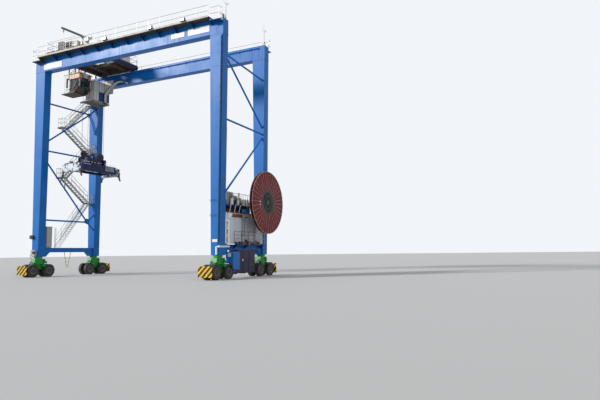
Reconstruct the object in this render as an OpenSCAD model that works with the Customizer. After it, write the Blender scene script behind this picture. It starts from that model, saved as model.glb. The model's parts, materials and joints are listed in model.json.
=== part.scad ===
// Rubber tyred gantry crane, 1:1, millimetres, +Z up.
// X runs across the container stack, Y along the stack, Z = 0 is the ground.

/* [Portal] */
// Distance between the middles of the left and right wheel tracks
span = 23470; // [21000:10:26000]
// Distance between the middles of the front and rear portal frames
frame_pitch = 7730; // [7200:10:8600]
// Height of the joint between legs and girders
joint_z = 22715; // [21800:5:24000]
// Depth of a main girder
girder_h = 1435; // [1200:5:1700]
// Width of a main girder and of the legs, along the stack
girder_w = 880; // [820:10:1000]
// Width of a leg at its top, across the stack
leg_top_w = 1440; // [1200:10:1700]
// Width of a leg at its foot, across the stack
leg_foot_w = 930; // [860:10:1050]
// How far the outer edge of a leg leans in from top to foot
leg_lean = 330; // [150:10:400]
// Underside of the leg foot above the ground
foot_z = 2170; // [2120:5:2300]
// Thickness of flange and joint plates
flange_t = 60; // [40:5:90]

/* [Sill beams] */
// Top of the sill beams
sill_top = 3150; // [3050:10:3400]
// Depth of a sill beam
sill_h = 500; // [400:10:600]
// Width of a sill beam
sill_w = 620; // [500:10:760]
// Length of the haunch where a sill beam meets a leg
haunch = 750; // [500:10:900]

/* [Bogies] */
// Outer diameter of a tyre
tyre_d = 1370; // [1280:10:1440]
// Width of a tyre
tyre_w = 385; // [340:5:400]
// Diameter of a wheel rim
rim_d = 640; // [560:10:700]
// Distance between the two axles of a bogie
wheelbase = 2000; // [1900:10:2150]
// Distance between the middles of the two tyres on an axle
tyre_gauge = 860; // [840:5:920]
// Thickness of the bogie beam between the tyres
bogie_t = 300; // [240:5:320]
// Diameter of an axle
axle_d = 140; // [110:5:160]

/* [Cable reel] */
// Outer diameter of the cable reel
reel_d = 6200; // [5600:20:6600]
// Width of the cable reel between its outer faces
reel_w = 300; // [240:10:420]
// From the outer face of the leg, at the axle, to the middle of the reel
reel_gap = 1218; // [1150:1:1400]
// Place of the reel's axle along the stack
reel_y = 2050; // [1800:10:2200]
// Height of the reel's axle
reel_z = 7300; // [7000:10:7800]
// Number of spokes on each side of the reel
reel_spokes = 36; // [24:1:40]

/* [Trolley and hoist] */
// Distance of the hoist's middle line from the middle of the crane
hoist_x = -8170; // [-8300:10:-8000]
// Length of the trolley frame
trolley_l = 6000; // [5600:10:6400]
// Diameter of a trolley wheel
trolley_wheel_d = 500; // [400:10:560]
// Height of the trolley rail
rail_h = 120; // [90:5:150]
// Underside of the spreader at rest
spreader_z = 11450; // [11000:10:12000]
// Length of the spreader when drawn in
spreader_l = 6060; // [6000:10:6100]
// Width of the spreader
spreader_w = 2400; // [2300:10:2440]

/* [Cabin] */
// Length of the operator's cabin across the stack
cabin_l = 2500; // [2200:10:2600]
// Width of the operator's cabin
cabin_w = 1700; // [1500:10:1800]
// Height of the operator's cabin
cabin_h = 2250; // [2100:10:2350]
// Underside of the operator's cabin
cabin_z = 21200; // [21150:10:21300]

/* [Stairs and walkways] */
// Width of the stair
stair_w = 700; // [600:10:760]
// Height of a handrail
rail_top = 1100; // [1000:10:1200]
// Outer diameter of a handrail tube
pipe_d = 48; // [36:2:60]
// Width of the walkway beside each girder
walk_w = 800; // [700:10:900]
// Rise of one tread
tread_rise = 225; // [200:5:240]

/* [Hidden] */
$fn = 48;

BLUE = [0.05, 0.28, 0.72];
GREEN = [0.10, 0.55, 0.16];
STEEL = [0.62, 0.64, 0.64];
WHITE = [0.90, 0.91, 0.89];
DARK = [0.10, 0.11, 0.12];
RUST = [0.42, 0.24, 0.13];
RED = [0.55, 0.08, 0.08];
YELLOW = [0.95, 0.78, 0.10];

fit = 0.3;                                   // seat clearance between pieces of different bodies
track_x = span / 2;                          // middle of a wheel track
frame_y = frame_pitch / 2;                   // middle of a portal frame
foot_out = track_x + leg_foot_w / 2;         // outer edge of a leg at its foot
end_x = foot_out + leg_lean;                 // outer edge of a leg at its top, end of the girders
reel_x = round(leg_out(reel_z) + reel_gap);    // middle of the reel
girder_top = joint_z + girder_h;
bay_y = frame_y - girder_w / 2;              // inner face of a portal frame
face_y = frame_y + girder_w / 2;             // outer face of a portal frame
reel_out = reel_x + reel_w / 2 + 120;        // outermost point on the reel side
origin_x = (reel_out - end_x) / 2;           // brings the reference point under the whole crane

module place() translate([-origin_x, 0, 0]) children();

function leg_out(z) = end_x - leg_lean * (joint_z - z) / (joint_z - foot_z);
function leg_in(z) = let(t = (joint_z - z) / (joint_z - foot_z))
    leg_out(z) - leg_top_w - (leg_foot_w - leg_top_w) * t;

// A block between two corners
module block(a, b) translate(a) cube(b - a);

// A round bar between two points
module bar(a, b, d, sides = 48) {
    v = b - a;
    l = norm(v);
    translate(a) rotate([0, acos(v[2] / l), atan2(v[1], v[0])]) cylinder(d = d, h = l, $fn = sides);
}

// A profile in the plane across the stack, pushed along the stack from y0 to y1
module across(y0, y1) translate([0, y1, 0]) rotate([90, 0, 0]) linear_extrude(y1 - y0) children();

// A profile in the plane along the stack, pushed across the stack from x0 to x1
module along(x0, x1) translate([x0, 0, 0]) rotate([90, 0, 90]) linear_extrude(x1 - x0) children();

// Main girders: box beams with wider flange plates and an end plate
rib_in = 4;
module girder() {
    web = girder_w / 2 - 20;
    block([-end_x, -web, joint_z + flange_t / 2], [end_x, web, girder_top]);
    for (z = [joint_z, girder_top - flange_t / 2])
        block([-end_x, -girder_w / 2, z], [end_x, girder_w / 2, z + flange_t / 2]);
    for (s = [-1, 1]) {
        block([s * end_x - 20, -girder_w / 2 + 10, joint_z + 10],
            [s * end_x + 20, girder_w / 2 - 10, girder_top - 10]);
        for (x = [end_x - leg_top_w - 60, end_x - leg_top_w / 2]) translate([s * x, 0,
            joint_z + flange_t / 2])
            block([-12, -girder_w / 2 + rib_in, 0], [12, girder_w / 2 - rib_in, girder_h - flange_t]);
    }
}
module front_girder() color(BLUE) place() translate([0, -frame_y, 0]) girder();
module rear_girder() color(BLUE) place() translate([0, frame_y, 0]) girder();

// Legs: tapered box columns with a joint flange at the top and a thick foot plate
module leg(side) {
    across(-girder_w / 2, girder_w / 2) polygon([[side * (foot_out - leg_foot_w), foot_z],
        [side * foot_out, foot_z], [side * end_x, joint_z - flange_t],
        [side * (end_x - leg_top_w), joint_z - flange_t]]);
    across(-girder_w / 2 - 20, girder_w / 2 + 20)
        polygon([[side * (end_x + 20), joint_z - flange_t], [side * (end_x + 20), joint_z],
            [side * (end_x - leg_top_w - 20), joint_z], [side * (end_x - leg_top_w - 20),
                joint_z - flange_t]]);
}

// Cable tray on the front face of the right leg
tray_w = 110;
tray_d = 70;
tray_foot = 3400;
module leg_tray() across(-girder_w / 2 - tray_d, -girder_w / 2)
    polygon([for (p = [[0, tray_foot], [tray_w, tray_foot], [tray_w, joint_z - flange_t - 80],
        [0, joint_z - flange_t - 80]]) [leg_out(p[1]) - 190 + p[0], p[1]]]);
module front_left_leg() color(BLUE) place() translate([0, -frame_y, 0]) leg(-1);
module front_right_leg() color(BLUE) place() translate([0, -frame_y, 0]) {
    leg(1);
    leg_tray();
}
module rear_left_leg() color(BLUE) place() translate([0, frame_y, 0]) leg(-1);
module rear_right_leg() color(BLUE) place() translate([0, frame_y, 0]) leg(1);

// Sill beams: one profile with a haunch down to each leg foot
module sill() {
    low = sill_top - sill_h;
    along(track_x - sill_w / 2, track_x + sill_w / 2)
        polygon([[-bay_y, sill_top], [bay_y, sill_top], [bay_y, foot_z], [bay_y - haunch * 0.35, foot_z],
            [bay_y - haunch, low], [-bay_y + haunch, low], [-bay_y + haunch * 0.35, foot_z],
                [-bay_y, foot_z]]);
    for (z = [sill_top - 30])
        block([track_x - sill_w / 2 - 40, -bay_y, z], [track_x + sill_w / 2 + 40, bay_y, sill_top]);
}
module right_sill_beam() color(BLUE) place() sill();
module left_sill_beam() color(BLUE) place() mirror([1, 0, 0]) sill();

// Left bracing: a K at the top, a strut, a long diagonal and a low tie, in one plane near the truck lane
brace_d = 180;
left_brace_x = -(leg_in(foot_z) + brace_d / 2 + 20);
right_brace_x = leg_out(foot_z) - brace_d / 2 - 20 + 100;
k_y = bay_y - 1000;
upper_k_z = 19300;
lower_k_z = 6200;
front_high_z = 19300;                        // heights where the left braces meet the front leg
front_low_z = 15000;
strut_z = 13900;
diagonal_z = 12600;
brace_fan = 900;                             // how far the short braces rise or fall to the rear leg
module left_bar(y0, z0, y1, z1) bar([left_brace_x, y0, z0], [left_brace_x, y1, z1], brace_d);

// Keeps only what lies between the two portal frames
module in_bay() intersection() {
    union() children();
    block([-end_x - 1000, -bay_y, 0], [end_x + 1000, bay_y, joint_z]);
}

// Curved knee plate with a row of square holes
knee_drop = 2300;                            // the knee meets the leg this far below the upper node
knee_w = 320;
knee_t = 70;
knee_run = bay_y - k_y;
knee_r = (knee_run * knee_run + knee_drop * knee_drop) / (2 * knee_run);
module knee() translate([left_brace_x, bay_y - knee_r, upper_k_z - knee_drop]) rotate([90, 0, 90]) {
    sweep = atan2(knee_drop, knee_r - knee_run);
    difference() {
        translate([0, 0, -knee_t / 2]) rotate_extrude(angle = sweep, $fn = 96)
            translate([knee_r - knee_w, 0]) square([knee_w, knee_t]);
        for (i = [0:8]) rotate([0, 0, sweep * (i + 0.7) / 9.6]) translate([knee_r - knee_w / 2, 0, 0])
            cube([170, 170, knee_t + 2], center = true);
    }
}

// Gusset plate and round hub where braces meet
module node_plate(y, z) along(left_brace_x - 20, left_brace_x + 20)
    polygon([[y - 420, z + 60], [y - 420, z - 330], [y + 60, z - 200], [y + 260, z - 60],
        [y + 260, z + 260], [y - 60, z + 160]]);
node_d = 300;
module node_hub(z) translate([left_brace_x - brace_d / 2 - 12, k_y, z]) rotate([0, 90, 0])
    cylinder(d = node_d, h = brace_d + 24);

// The cut at the bay needs bars that reach past it, so the end bars are drawn a little too long
past = 60;
module left_bracing() color(BLUE) place() in_bay() {
    left_bar(-bay_y - past, front_high_z, k_y, upper_k_z);
    left_bar(-bay_y - past, front_low_z - past, k_y, upper_k_z);
    left_bar(k_y, upper_k_z, bay_y + past, upper_k_z + brace_fan + past);
    knee();
    left_bar(-bay_y - past, strut_z, bay_y + past, strut_z);
    left_bar(-bay_y - past, diagonal_z + past, k_y, lower_k_z);
    left_bar(-bay_y - past, lower_k_z, k_y, lower_k_z);
    left_bar(k_y, lower_k_z, bay_y + past, lower_k_z + brace_fan + past);
    left_bar(k_y, lower_k_z, bay_y + past, lower_k_z - brace_fan - past);
    node_hub(upper_k_z);
    node_hub(lower_k_z);
    node_plate(k_y, upper_k_z);
    along(left_brace_x - 20, left_brace_x + 20) polygon([[k_y - 520, lower_k_z + 40],
        [k_y - 120, lower_k_z + 460],
        [k_y + 330, lower_k_z + 330], [k_y + 330, lower_k_z - 330], [k_y - 520, lower_k_z - 40]]);
}

// Right bracing: four tubes that meet at mid height on the rear leg, outside the electrical house
right_brace_ends = [[20900, 15300], [21000, 20400], [14800, 14600], [7900, 14200]];
module right_bracing() color(BLUE) place() in_bay() for (ends = right_brace_ends) {
    rise = (ends[1] - ends[0]) * past / (2 * bay_y);
    bar([right_brace_x, -bay_y - past, ends[0] - rise], [right_brace_x, bay_y + past, ends[1] + rise],
        brace_d);
}

// Trolley rails with end stops
stop_x = end_x - 350;
module trolley_rails() color(STEEL) place() for (s = [-1, 1]) translate([0, s * frame_y, girder_top]) {
    block([-end_x + 100, -40, 0], [end_x - 100, 40, rail_h]);
    for (t = [-1, 1]) translate([t * stop_x, 0, 0]) block([-120, -150, 0], [120, 150, 550]);
}

// Walkways on the outer side of both girders, with brackets and toe boards
walk_l = end_x - 1100;
walk_t = 60;
module walkway(s) {
    y0 = s * face_y;
    y1 = s * (face_y + walk_w);
    lo = min(y0, y1);
    hi = max(y0, y1);
    block([-walk_l, lo, girder_top - walk_t], [walk_l, hi, girder_top]);
    edge = s > 0 ? hi - 10 : lo;
    block([-walk_l, edge, girder_top], [walk_l, edge + 10, girder_top + 120]);
    for (i = [0:11]) {
        x = -walk_l + 100 + i * (2 * walk_l - 200) / 11;
        translate([x - 20, 0, 0]) along(0, 40)
            polygon([[y0, girder_top - walk_t], [s * (face_y + walk_w - 60), girder_top - walk_t],
                [s * (face_y + walk_w - 60), girder_top - walk_t - 80], [y0, girder_top - 600]]);
    }
}
module girder_walkways() color(STEEL) place() {
    walkway(-1);
    walkway(1);
    for (s = [-1, 1], t = [-1, 1]) {
        y0 = s * (face_y - rib_in);
        y1 = s * (face_y + walk_w - 200);
        block([min(t * walk_l, t * (end_x - 20)), min(y0, y1), girder_top - 360],
            [max(t * walk_l, t * (end_x - 20)), max(y0, y1), girder_top - 300]);
    }
}

// Handrails: posts with a top rail and a knee rail
module fence(p0, p1, n, h = rail_top) {
    for (i = [0:n]) {
        q = p0 + (p1 - p0) * i / n;
        bar(q, q + [0, 0, h], pipe_d - 8, 6);
    }
    for (k = [0.5, 1]) bar(p0 + [0, 0, h * k], p1 + [0, 0, h * k], pipe_d, 8);
}
module walkway_handrails() color(STEEL) place() for (s = [-1, 1]) {
    y = s * (face_y + walk_w - 40);
    fence([-walk_l + 30, y, girder_top], [walk_l - 30, y, girder_top], 16);
    for (t = [-1, 1]) {
        y1 = s * (face_y + walk_w - 240);
        fence([t * (walk_l + 60), y1, girder_top - 300], [t * (end_x - 60), y1, girder_top - 300], 1, 1200);
        fence([t * (end_x - 60), s * (face_y + 60), girder_top - 300], [t * (end_x - 60),
            y1 - s * 60, girder_top - 300], 1, 1200);
    }
}

// Stairs between the left legs: five flights and five landings, outside the bracing
stair_x = -(leg_out(8000) - 90 - stair_w / 2);
stair_y0 = -bay_y + 1900;
stair_turn_a = bay_y - 700;
stair_turn_b = -bay_y + 2700;
stair_levels = [sill_top, 8600, 11250, 14750, 17100, 20600];
stair_starts = [stair_y0, stair_turn_a, stair_turn_b, stair_turn_a, stair_turn_b, stair_turn_a];
stringer_h = 220;
module flight_stringers(i) {
    y0 = stair_starts[i];
    y1 = stair_starts[i + 1];
    z0 = stair_levels[i];
    z1 = stair_levels[i + 1];
    for (s = [-1, 1]) translate([stair_x + s * (stair_w / 2 - 6) - 6, 0, 0])
        along(0, 12) polygon([[y0, z0], [y1, z1], [y1, z1 - stringer_h],
            [y0, z0 - (i == 0 ? 0 : stringer_h)]]);
}
module stair_stringers() color(STEEL) place() for (i = [0:4]) flight_stringers(i);
module stair_treads() color(STEEL) place() for (i = [0:4]) {
    n = floor((stair_levels[i + 1] - stair_levels[i]) / tread_rise);
    for (k = [1:n - 1]) {
        y = stair_starts[i] + (stair_starts[i + 1] - stair_starts[i]) * k / n;
        z = stair_levels[i] + (stair_levels[i + 1] - stair_levels[i]) * k / n;
        translate([stair_x, y, z - 20 - stringer_h / 2])
            cube([stair_w - 24, 200, 40], center = true);
    }
}
landing_l = 800;
landing_t = 60;
function brace_z(i, y) = i == 2
    ? diagonal_z + (lower_k_z - diagonal_z) * (y + bay_y) / (k_y + bay_y)
    : front_low_z + (upper_k_z - front_low_z) * (y + bay_y) / (k_y + bay_y);
module stair_landings() color(STEEL) place() for (i = [1:5]) {
    far = i % 2 == 1;
    level = stair_levels[i];
    y0 = far ? stair_turn_a : stair_turn_b - landing_l;
    y1 = far ? bay_y : stair_turn_b;
    block([stair_x - stair_w / 2, y0, level - landing_t], [stair_x + stair_w / 2, y1, level]);
    for (s = [-1, 1]) translate([stair_x + s * (stair_w / 2 - 30), 0, level - landing_t])
        block([-30, y0, -120], [30, y1, 0]);
    if (!far) for (y = [y0 + 60, y1 - 160])
        block([stair_x + stair_w / 2 - 60, y, brace_z(i, y + 50) - 60],
            [left_brace_x - brace_d / 2 - fit, y + 100, min(level - landing_t, brace_z(i, y + 50) + 90)]);
    if (!far) for (y = [y0 + 60, y1 - 160])
        block([stair_x + stair_w / 2 - 60, y, brace_z(i, y + 50) - 60],
            [stair_x + stair_w / 2, y + 100, level - landing_t]);
}
rail_stop = 0.24;                            // a flight's rail ends here, under the flight above it
module stair_handrails() color(STEEL) place() for (i = [0:4], s = [-1, 1]) {
    x = stair_x + s * (stair_w / 2 - 6);
    p0 = [x, stair_starts[i], stair_levels[i]];
    p1 = [x, stair_starts[i + 1], stair_levels[i + 1]];
    e = p1 - p0;
    lift = [0, 0, abs(e[2] / e[1]) * (pipe_d - 8) / 2 * cos(30) + fit];
    fence(p0 + e * 0.06 + lift, p1 - e * (i < 4 ? rail_stop : 0.06) + lift, 4, 1000);
    if (s < 0) for (t = [-1, 1]) {
        far = i % 2 == 0;
        y0 = far ? stair_turn_a + 60 : stair_turn_b - landing_l + 40;
        y1 = far ? bay_y - 40 : stair_turn_b - 60;
        level = stair_levels[i + 1];
        if (i < 4 || t < 0) fence([stair_x + t * (stair_w / 2 - 26), y0, level],
            [stair_x + t * (stair_w / 2 - 26), y1, level], 2, 1000);
        if (!far && t > 0) fence([stair_x - stair_w / 2 + 80, y0, level],
            [stair_x + stair_w / 2 - 80, y0, level], 1, 1000);
    }
}

// Access platform beside the rear left leg, where the driver boards the cabin
plat_x0 = stair_x + stair_w / 2 + 25;         // clear of the top flight's handrail
plat_x1 = -end_x + 3300;
plat_y0 = cabin_w / 2 + 150;
plat_z = 20600;
module access_platform() color(STEEL) place() {
    block([plat_x0, plat_y0, plat_z - 60], [plat_x1, bay_y, plat_z]);
    for (y = [plat_y0, bay_y - 80]) block([plat_x0, y, plat_z - 220], [plat_x1, y + 80, plat_z - 60]);
    for (x = [plat_x0 + 900, plat_x1 - 80]) block([x, plat_y0, plat_z - 220], [x + 80, bay_y, plat_z - 60]);
}

// Closed guard panels on the platform and a screen with ribs under the girder
panel_h = 2350;
module panel_along(x, y0, y1, n) {
    step = (y1 - y0) / n;
    for (i = [0:n]) block([x - 15, y0 + i * step - 15, plat_z],
        [x + 15, y0 + i * step + 15, plat_z + panel_h]);
    for (z = [60, panel_h / 2, panel_h - 60]) block([x - 20, y0, plat_z + z], [x + 20, y1, plat_z + z + 60]);
    block([x - 4, y0, plat_z + 60], [x + 4, y1, plat_z + panel_h - 60]);
}
module access_panels() color(WHITE) place() {
    panel_along(plat_x1 - 40, plat_y0 + 30, bay_y - 30, 8);
    mirror([1, -1, 0]) panel_along(plat_y0 + 40, plat_x0 + 900, plat_x1 - 80, 6);
    block([-(leg_in(plat_z)) + 60, bay_y - 40, joint_z - 900], [plat_x1 + 600, bay_y, joint_z + 800]);
    for (x = [0:6]) translate([-(leg_in(plat_z)) + 160 + x * 260, bay_y - 70, joint_z - 900]) cube([40, 30,
        1700]);
}

// Electrical house on the right sill beam
house_in = track_x - 700;
house_out = leg_out(4000) - 20;
house_h = 2950;
module electrical_house() color(WHITE) place() {
    y0 = -bay_y + 40;
    y1 = bay_y - 40;
    top = sill_top + house_h;
    difference() {
        block([house_in, y0, sill_top + 100], [house_out, y1, top]);
        for (y = [y0 + 500, y0 + 3000, y1 - 1500]) block([house_out - 25, y, sill_top + 260],
            [house_out + 1, y + 950, top - 420]);
        for (y = [y0 + 400, y1 - 2400]) block([house_in - 1, y, sill_top + 260],
            [house_in + 25, y + 2000, top - 420]);
    }
    for (y = [y0 + 520, y0 + 3020, y1 - 1480]) {
        block([house_out - 26, y, sill_top + 280], [house_out - 8, y + 910, top - 440]);
        block([house_out - 9, y + 800, sill_top + 1250], [house_out + 20, y + 840, sill_top + 1450]);
    }
    for (y = [y0 + 1700, y1 - 2300], i = [0:9])
        block([house_out - 1, y, sill_top + 1700 + i * 90],
            [house_out + 24, y + 650, sill_top + 1740 + i * 90]);
    for (y = [-bay_y + 300, 0, bay_y - 500]) block([house_in + 80, y, sill_top],
        [house_out - 80, y + 200, sill_top + 101]);
}
module electrical_house_roof() color(RUST) place()
    block([house_in - 60, -bay_y + 20, sill_top + house_h],
        [house_out + 60, bay_y - 20, sill_top + house_h + 90]);

// Service platform above the electrical house
deck_z = 6850;

// Walkway on the outer side of the right sill beam
side_walk_w = 620;
side_walk_x = track_x + sill_w / 2 + 40;
module service_platform() color(BLUE) place() {
    block([house_in, -bay_y, deck_z - 140], [leg_out(deck_z), -bay_y + 4700, deck_z]);
    for (x = [house_in + 100, house_out - 200], y = [-bay_y + 1000, -bay_y + 4400])
        block([x, y, sill_top + house_h + 90], [x + 100, y + 100, deck_z - 140]);
    block([side_walk_x, -bay_y + 1400, sill_top - 60], [side_walk_x + side_walk_w, bay_y - 300, sill_top]);
    for (y = [-bay_y + 1500, 0, bay_y - 560]) translate([0, y, 0]) across(0, 60)
        polygon([[side_walk_x, sill_top - 60], [side_walk_x + side_walk_w - 40, sill_top - 60],
            [side_walk_x, sill_top - 420]]);
}
module service_handrails() color(STEEL) place() {
    fence([leg_out(deck_z) - 60, -bay_y + 300, deck_z], [leg_out(deck_z) - 60, -bay_y + 4600, deck_z], 4);
    fence([house_in + 60, -bay_y + 300, deck_z], [house_in + 60, -bay_y + 4600, deck_z], 4);
    fence([side_walk_x + side_walk_w - 50, -bay_y + 1450, sill_top],
        [side_walk_x + side_walk_w - 50, bay_y - 350, sill_top], 5);
    for (y = [300, 700]) bar([house_out + 110, y, sill_top], [house_out + 110, y, deck_z + 1000], pipe_d, 8);
    for (z = [sill_top + 300:300:deck_z]) bar([house_out + 110, 300, z], [house_out + 110, 700, z], 26, 6);
}

// Cooling units and a filter on the service platform
module roof_units() color(STEEL) place() {
    block([house_in + 250, -bay_y + 700, deck_z], [house_in + 1050, -bay_y + 1500, deck_z + 1200]);
    block([house_in + 300, -bay_y + 1900, deck_z], [house_in + 900, -bay_y + 2500, deck_z + 900]);
    translate([house_in + 600, -bay_y + 3200, deck_z]) cylinder(d = 520, h = 800);
    translate([house_in + 600, -bay_y + 3200, deck_z + 799]) cylinder(d = 200, h = 500);
    block([house_in + 250, -bay_y + 3750, deck_z], [house_in + 1000, -bay_y + 4400, deck_z + 700]);
}

// Reel support: an outrigger from the rear right leg with the reel's bearing and drive
hub_in = reel_x - reel_w / 2 - 3;            // inner face of the reel's hub disc
module reel_support() color(BLUE) place() {
    block([leg_out(reel_z) - 500, reel_y - 250, reel_z - 250], [leg_out(reel_z) - 100, bay_y, reel_z + 250]);
    along(leg_out(reel_z) - 420, leg_out(reel_z) - 380)
        polygon([[bay_y, reel_z - 250], [bay_y, reel_z - 1100], [reel_y, reel_z - 250]]);
    translate([leg_out(reel_z) - 300, reel_y, reel_z]) rotate([0, 90, 0])
        cylinder(d = 420, h = hub_in - fit - leg_out(reel_z) + 300);
    block([leg_out(reel_z) - 99, reel_y - 330, reel_z - 330],
        [leg_out(reel_z) + 260, reel_y + 330, reel_z + 330]);
    block([leg_out(reel_z) - 60, reel_y - 760, reel_z - 180],
        [leg_out(reel_z) + 200, reel_y - 329, reel_z + 180]);
}

// Power box under the right sill beam, with three doors
module power_box() color([0.06, 0.08, 0.25]) place() {
    block([track_x - 450, -1400, 450], [track_x + 450, 1900, sill_top - sill_h]);
    for (y = [-1340, -300, 740]) {
        block([track_x + 449, y, 560], [track_x + 470, y + 960, sill_top - sill_h - 160]);
        block([track_x + 469, y + 860, 1350], [track_x + 495, y + 900, 1550]);
    }
    for (y = [-1250, 250, 1650]) block([track_x - 300, y, 380], [track_x + 300, y + 120, 451]);
}

// Ladder from the ground to the sill beam on the reel side
module ground_ladder() color(BLUE) place() {
    y0 = -bay_y + 800;
    for (y = [y0, y0 + 500])
        bar([track_x + sill_w / 2 + 500, y, 500], [track_x + sill_w / 2 + 90, y, sill_top - 20], pipe_d);
    for (i = [0:7]) {
        t = (i + 0.5) / 8;
        x = track_x + sill_w / 2 + 500 - 410 * t;
        z = 500 + (sill_top - 520) * t;
        bar([x, y0, z], [x, y0 + 500, z], 30);
    }
    block([track_x + sill_w / 2 + 40, y0 - 30, sill_top - 60],
        [track_x + sill_w / 2 + 160, y0 + 530, sill_top]);
}

// Cabinet on the left sill beam and a box at the foot of the front left leg
module left_cabinet() color(STEEL) place() {
    block([-track_x - 300, -bay_y + 300, sill_top + 60], [-track_x + 300, -bay_y + 1000, sill_top + 2300]);
    block([-track_x - 250, -bay_y + 350, sill_top], [-track_x + 250, -bay_y + 950, sill_top + 61]);
    block([-track_x - 340, -bay_y + 260, sill_top + 2299], [-track_x + 340, -bay_y + 1040, sill_top + 2350]);
    block([-track_x + 299, -bay_y + 340, sill_top + 160], [-track_x + 318, -bay_y + 960, sill_top + 2200]);
    block([-foot_out + 100, -face_y - 260, foot_z + 60], [-foot_out + 730, -face_y, foot_z + 740]);
}

// Antenna masts on the right end of both girders
module masts() color(WHITE) place() for (s = [-1, 1]) translate([end_x - 150, s * (frame_y - 250),
    girder_top]) {
    cylinder(d = 90, h = 1700);
    translate([0, 0, 1700]) cylinder(d = 30, h = 700);
}

// Floodlights on the walkway edge and a lamp on the front left leg
floodlight_at = [-1340, 4630, 8590];         // distances from the middle of the crane
module floodlights() color(DARK) place() {
    for (x = floodlight_at) block([x - 250, -face_y - walk_w - 200, girder_top + 20],
        [x + 250, -face_y - walk_w, girder_top + 340]);
    translate([-leg_out(4300) + 120, -face_y, 4300]) rotate([90, 0, 0]) cylinder(d = 440, h = 200);
}
// Tie-down stays: two bars in a V under the left sill beam, cut flush with its underside
stay_top = sill_top - sill_h;
module tie_down_stays() color(YELLOW) place() intersection() {
    for (s = [-1, 1]) bar([-track_x, s * 455, stay_top + 20], [-track_x, s * 60, 900], 60);
    block([-track_x - 100, -600, 0], [-track_x + 100, 600, stay_top]);
}

// Trolley frame: two end carriages on wheels, cross beams and a deck
wheel_z = girder_top + rail_h + trolley_wheel_d / 2;
carriage_z = girder_top + rail_h + 180;
carriage_h = 450;
deck_top = carriage_z + carriage_h + 60;
trolley_x0 = hoist_x - trolley_l / 2 - 230;
trolley_x1 = trolley_x0 + trolley_l;
cabin_x0 = -end_x + 400;
rope_x = 450;                                // the four falls of rope stand at +-rope_x, +-rope_y
rope_y = 1150;
module trolley_frame() color(BLUE) place() {
    for (s = [-1, 1]) {
        block([trolley_x0, s * frame_y - 200, carriage_z],
            [trolley_x1, s * frame_y + 200, carriage_z + carriage_h]);
        for (x = [trolley_x0 + 700, trolley_x1 - 700]) {
            translate([x, s * frame_y - 50, wheel_z]) rotate([-90, 0, 0]) cylinder(d = trolley_wheel_d,
                h = 100);
            for (t = [-1, 1]) block([x - 330, s * frame_y + t * 140 - 20, wheel_z - 120],
                [x + 330, s * frame_y + t * 140 + 20, carriage_z + 1]);
        }
        for (x = [trolley_x0, trolley_x1]) translate([x, s * frame_y, carriage_z + 170])
            rotate([0, x < hoist_x ? -90 : 90, 0]) cylinder(d = 220, h = 180);
    }
    for (x = [trolley_x0, hoist_x - 1500, hoist_x + 1200, trolley_x1 - 300])
        block([x, -frame_y, carriage_z], [x + 300, frame_y, carriage_z + carriage_h]);
    for (y = [-rope_y, rope_y]) {
        block([hoist_x - 1220, y - 90, carriage_z], [hoist_x + 1220, y + 90, carriage_z + 260]);
        for (t = [-1, 1]) translate([hoist_x + t * rope_x, y + 89, carriage_z + 220]) rotate([-90, 0, 0])
            cylinder(d = 440, h = 70);
    }
    difference() {
        block([trolley_x0, -frame_y - 200, carriage_z + carriage_h], [trolley_x1, frame_y + 200, deck_top]);
        block([hoist_x - 1200, -1500, 0], [hoist_x + 1200, 1500, deck_top + 1]);
    }
    for (x = [cabin_x0 + 300, cabin_x0 + cabin_l - 600], y = [-500, 400])
        block([x, y, cabin_z + cabin_h + fit], [x + 100, y + 100, carriage_z + carriage_h]);
    for (y = [-500, 400]) bar([cabin_x0 + 350, y + 50, cabin_z + cabin_h + 60],
        [cabin_x0 + cabin_l - 550, y + 50, carriage_z + 100], 70, 8);
    block([cabin_x0 + 300, -500, cabin_z + cabin_h + fit],
        [cabin_x0 + cabin_l - 500, 500, cabin_z + cabin_h + 80]);
}

// Handrails round the trolley deck, open beside the jib
module trolley_handrails() color(STEEL) place() {
    y = frame_y + 150;
    fence([trolley_x0 + 60, -y, deck_top], [jib_x - jib_gap, -y, deck_top], 5);
    fence([trolley_x0 + 60, y, deck_top], [trolley_x1 - 60, y, deck_top], 6);
    fence([trolley_x0 + 60, -y + 100, deck_top], [trolley_x0 + 60, y - 100, deck_top], 7);
    fence([trolley_x1 - 60, jib_y + jib_gap, deck_top], [trolley_x1 - 60, y - 100, deck_top], 5);
}

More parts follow.
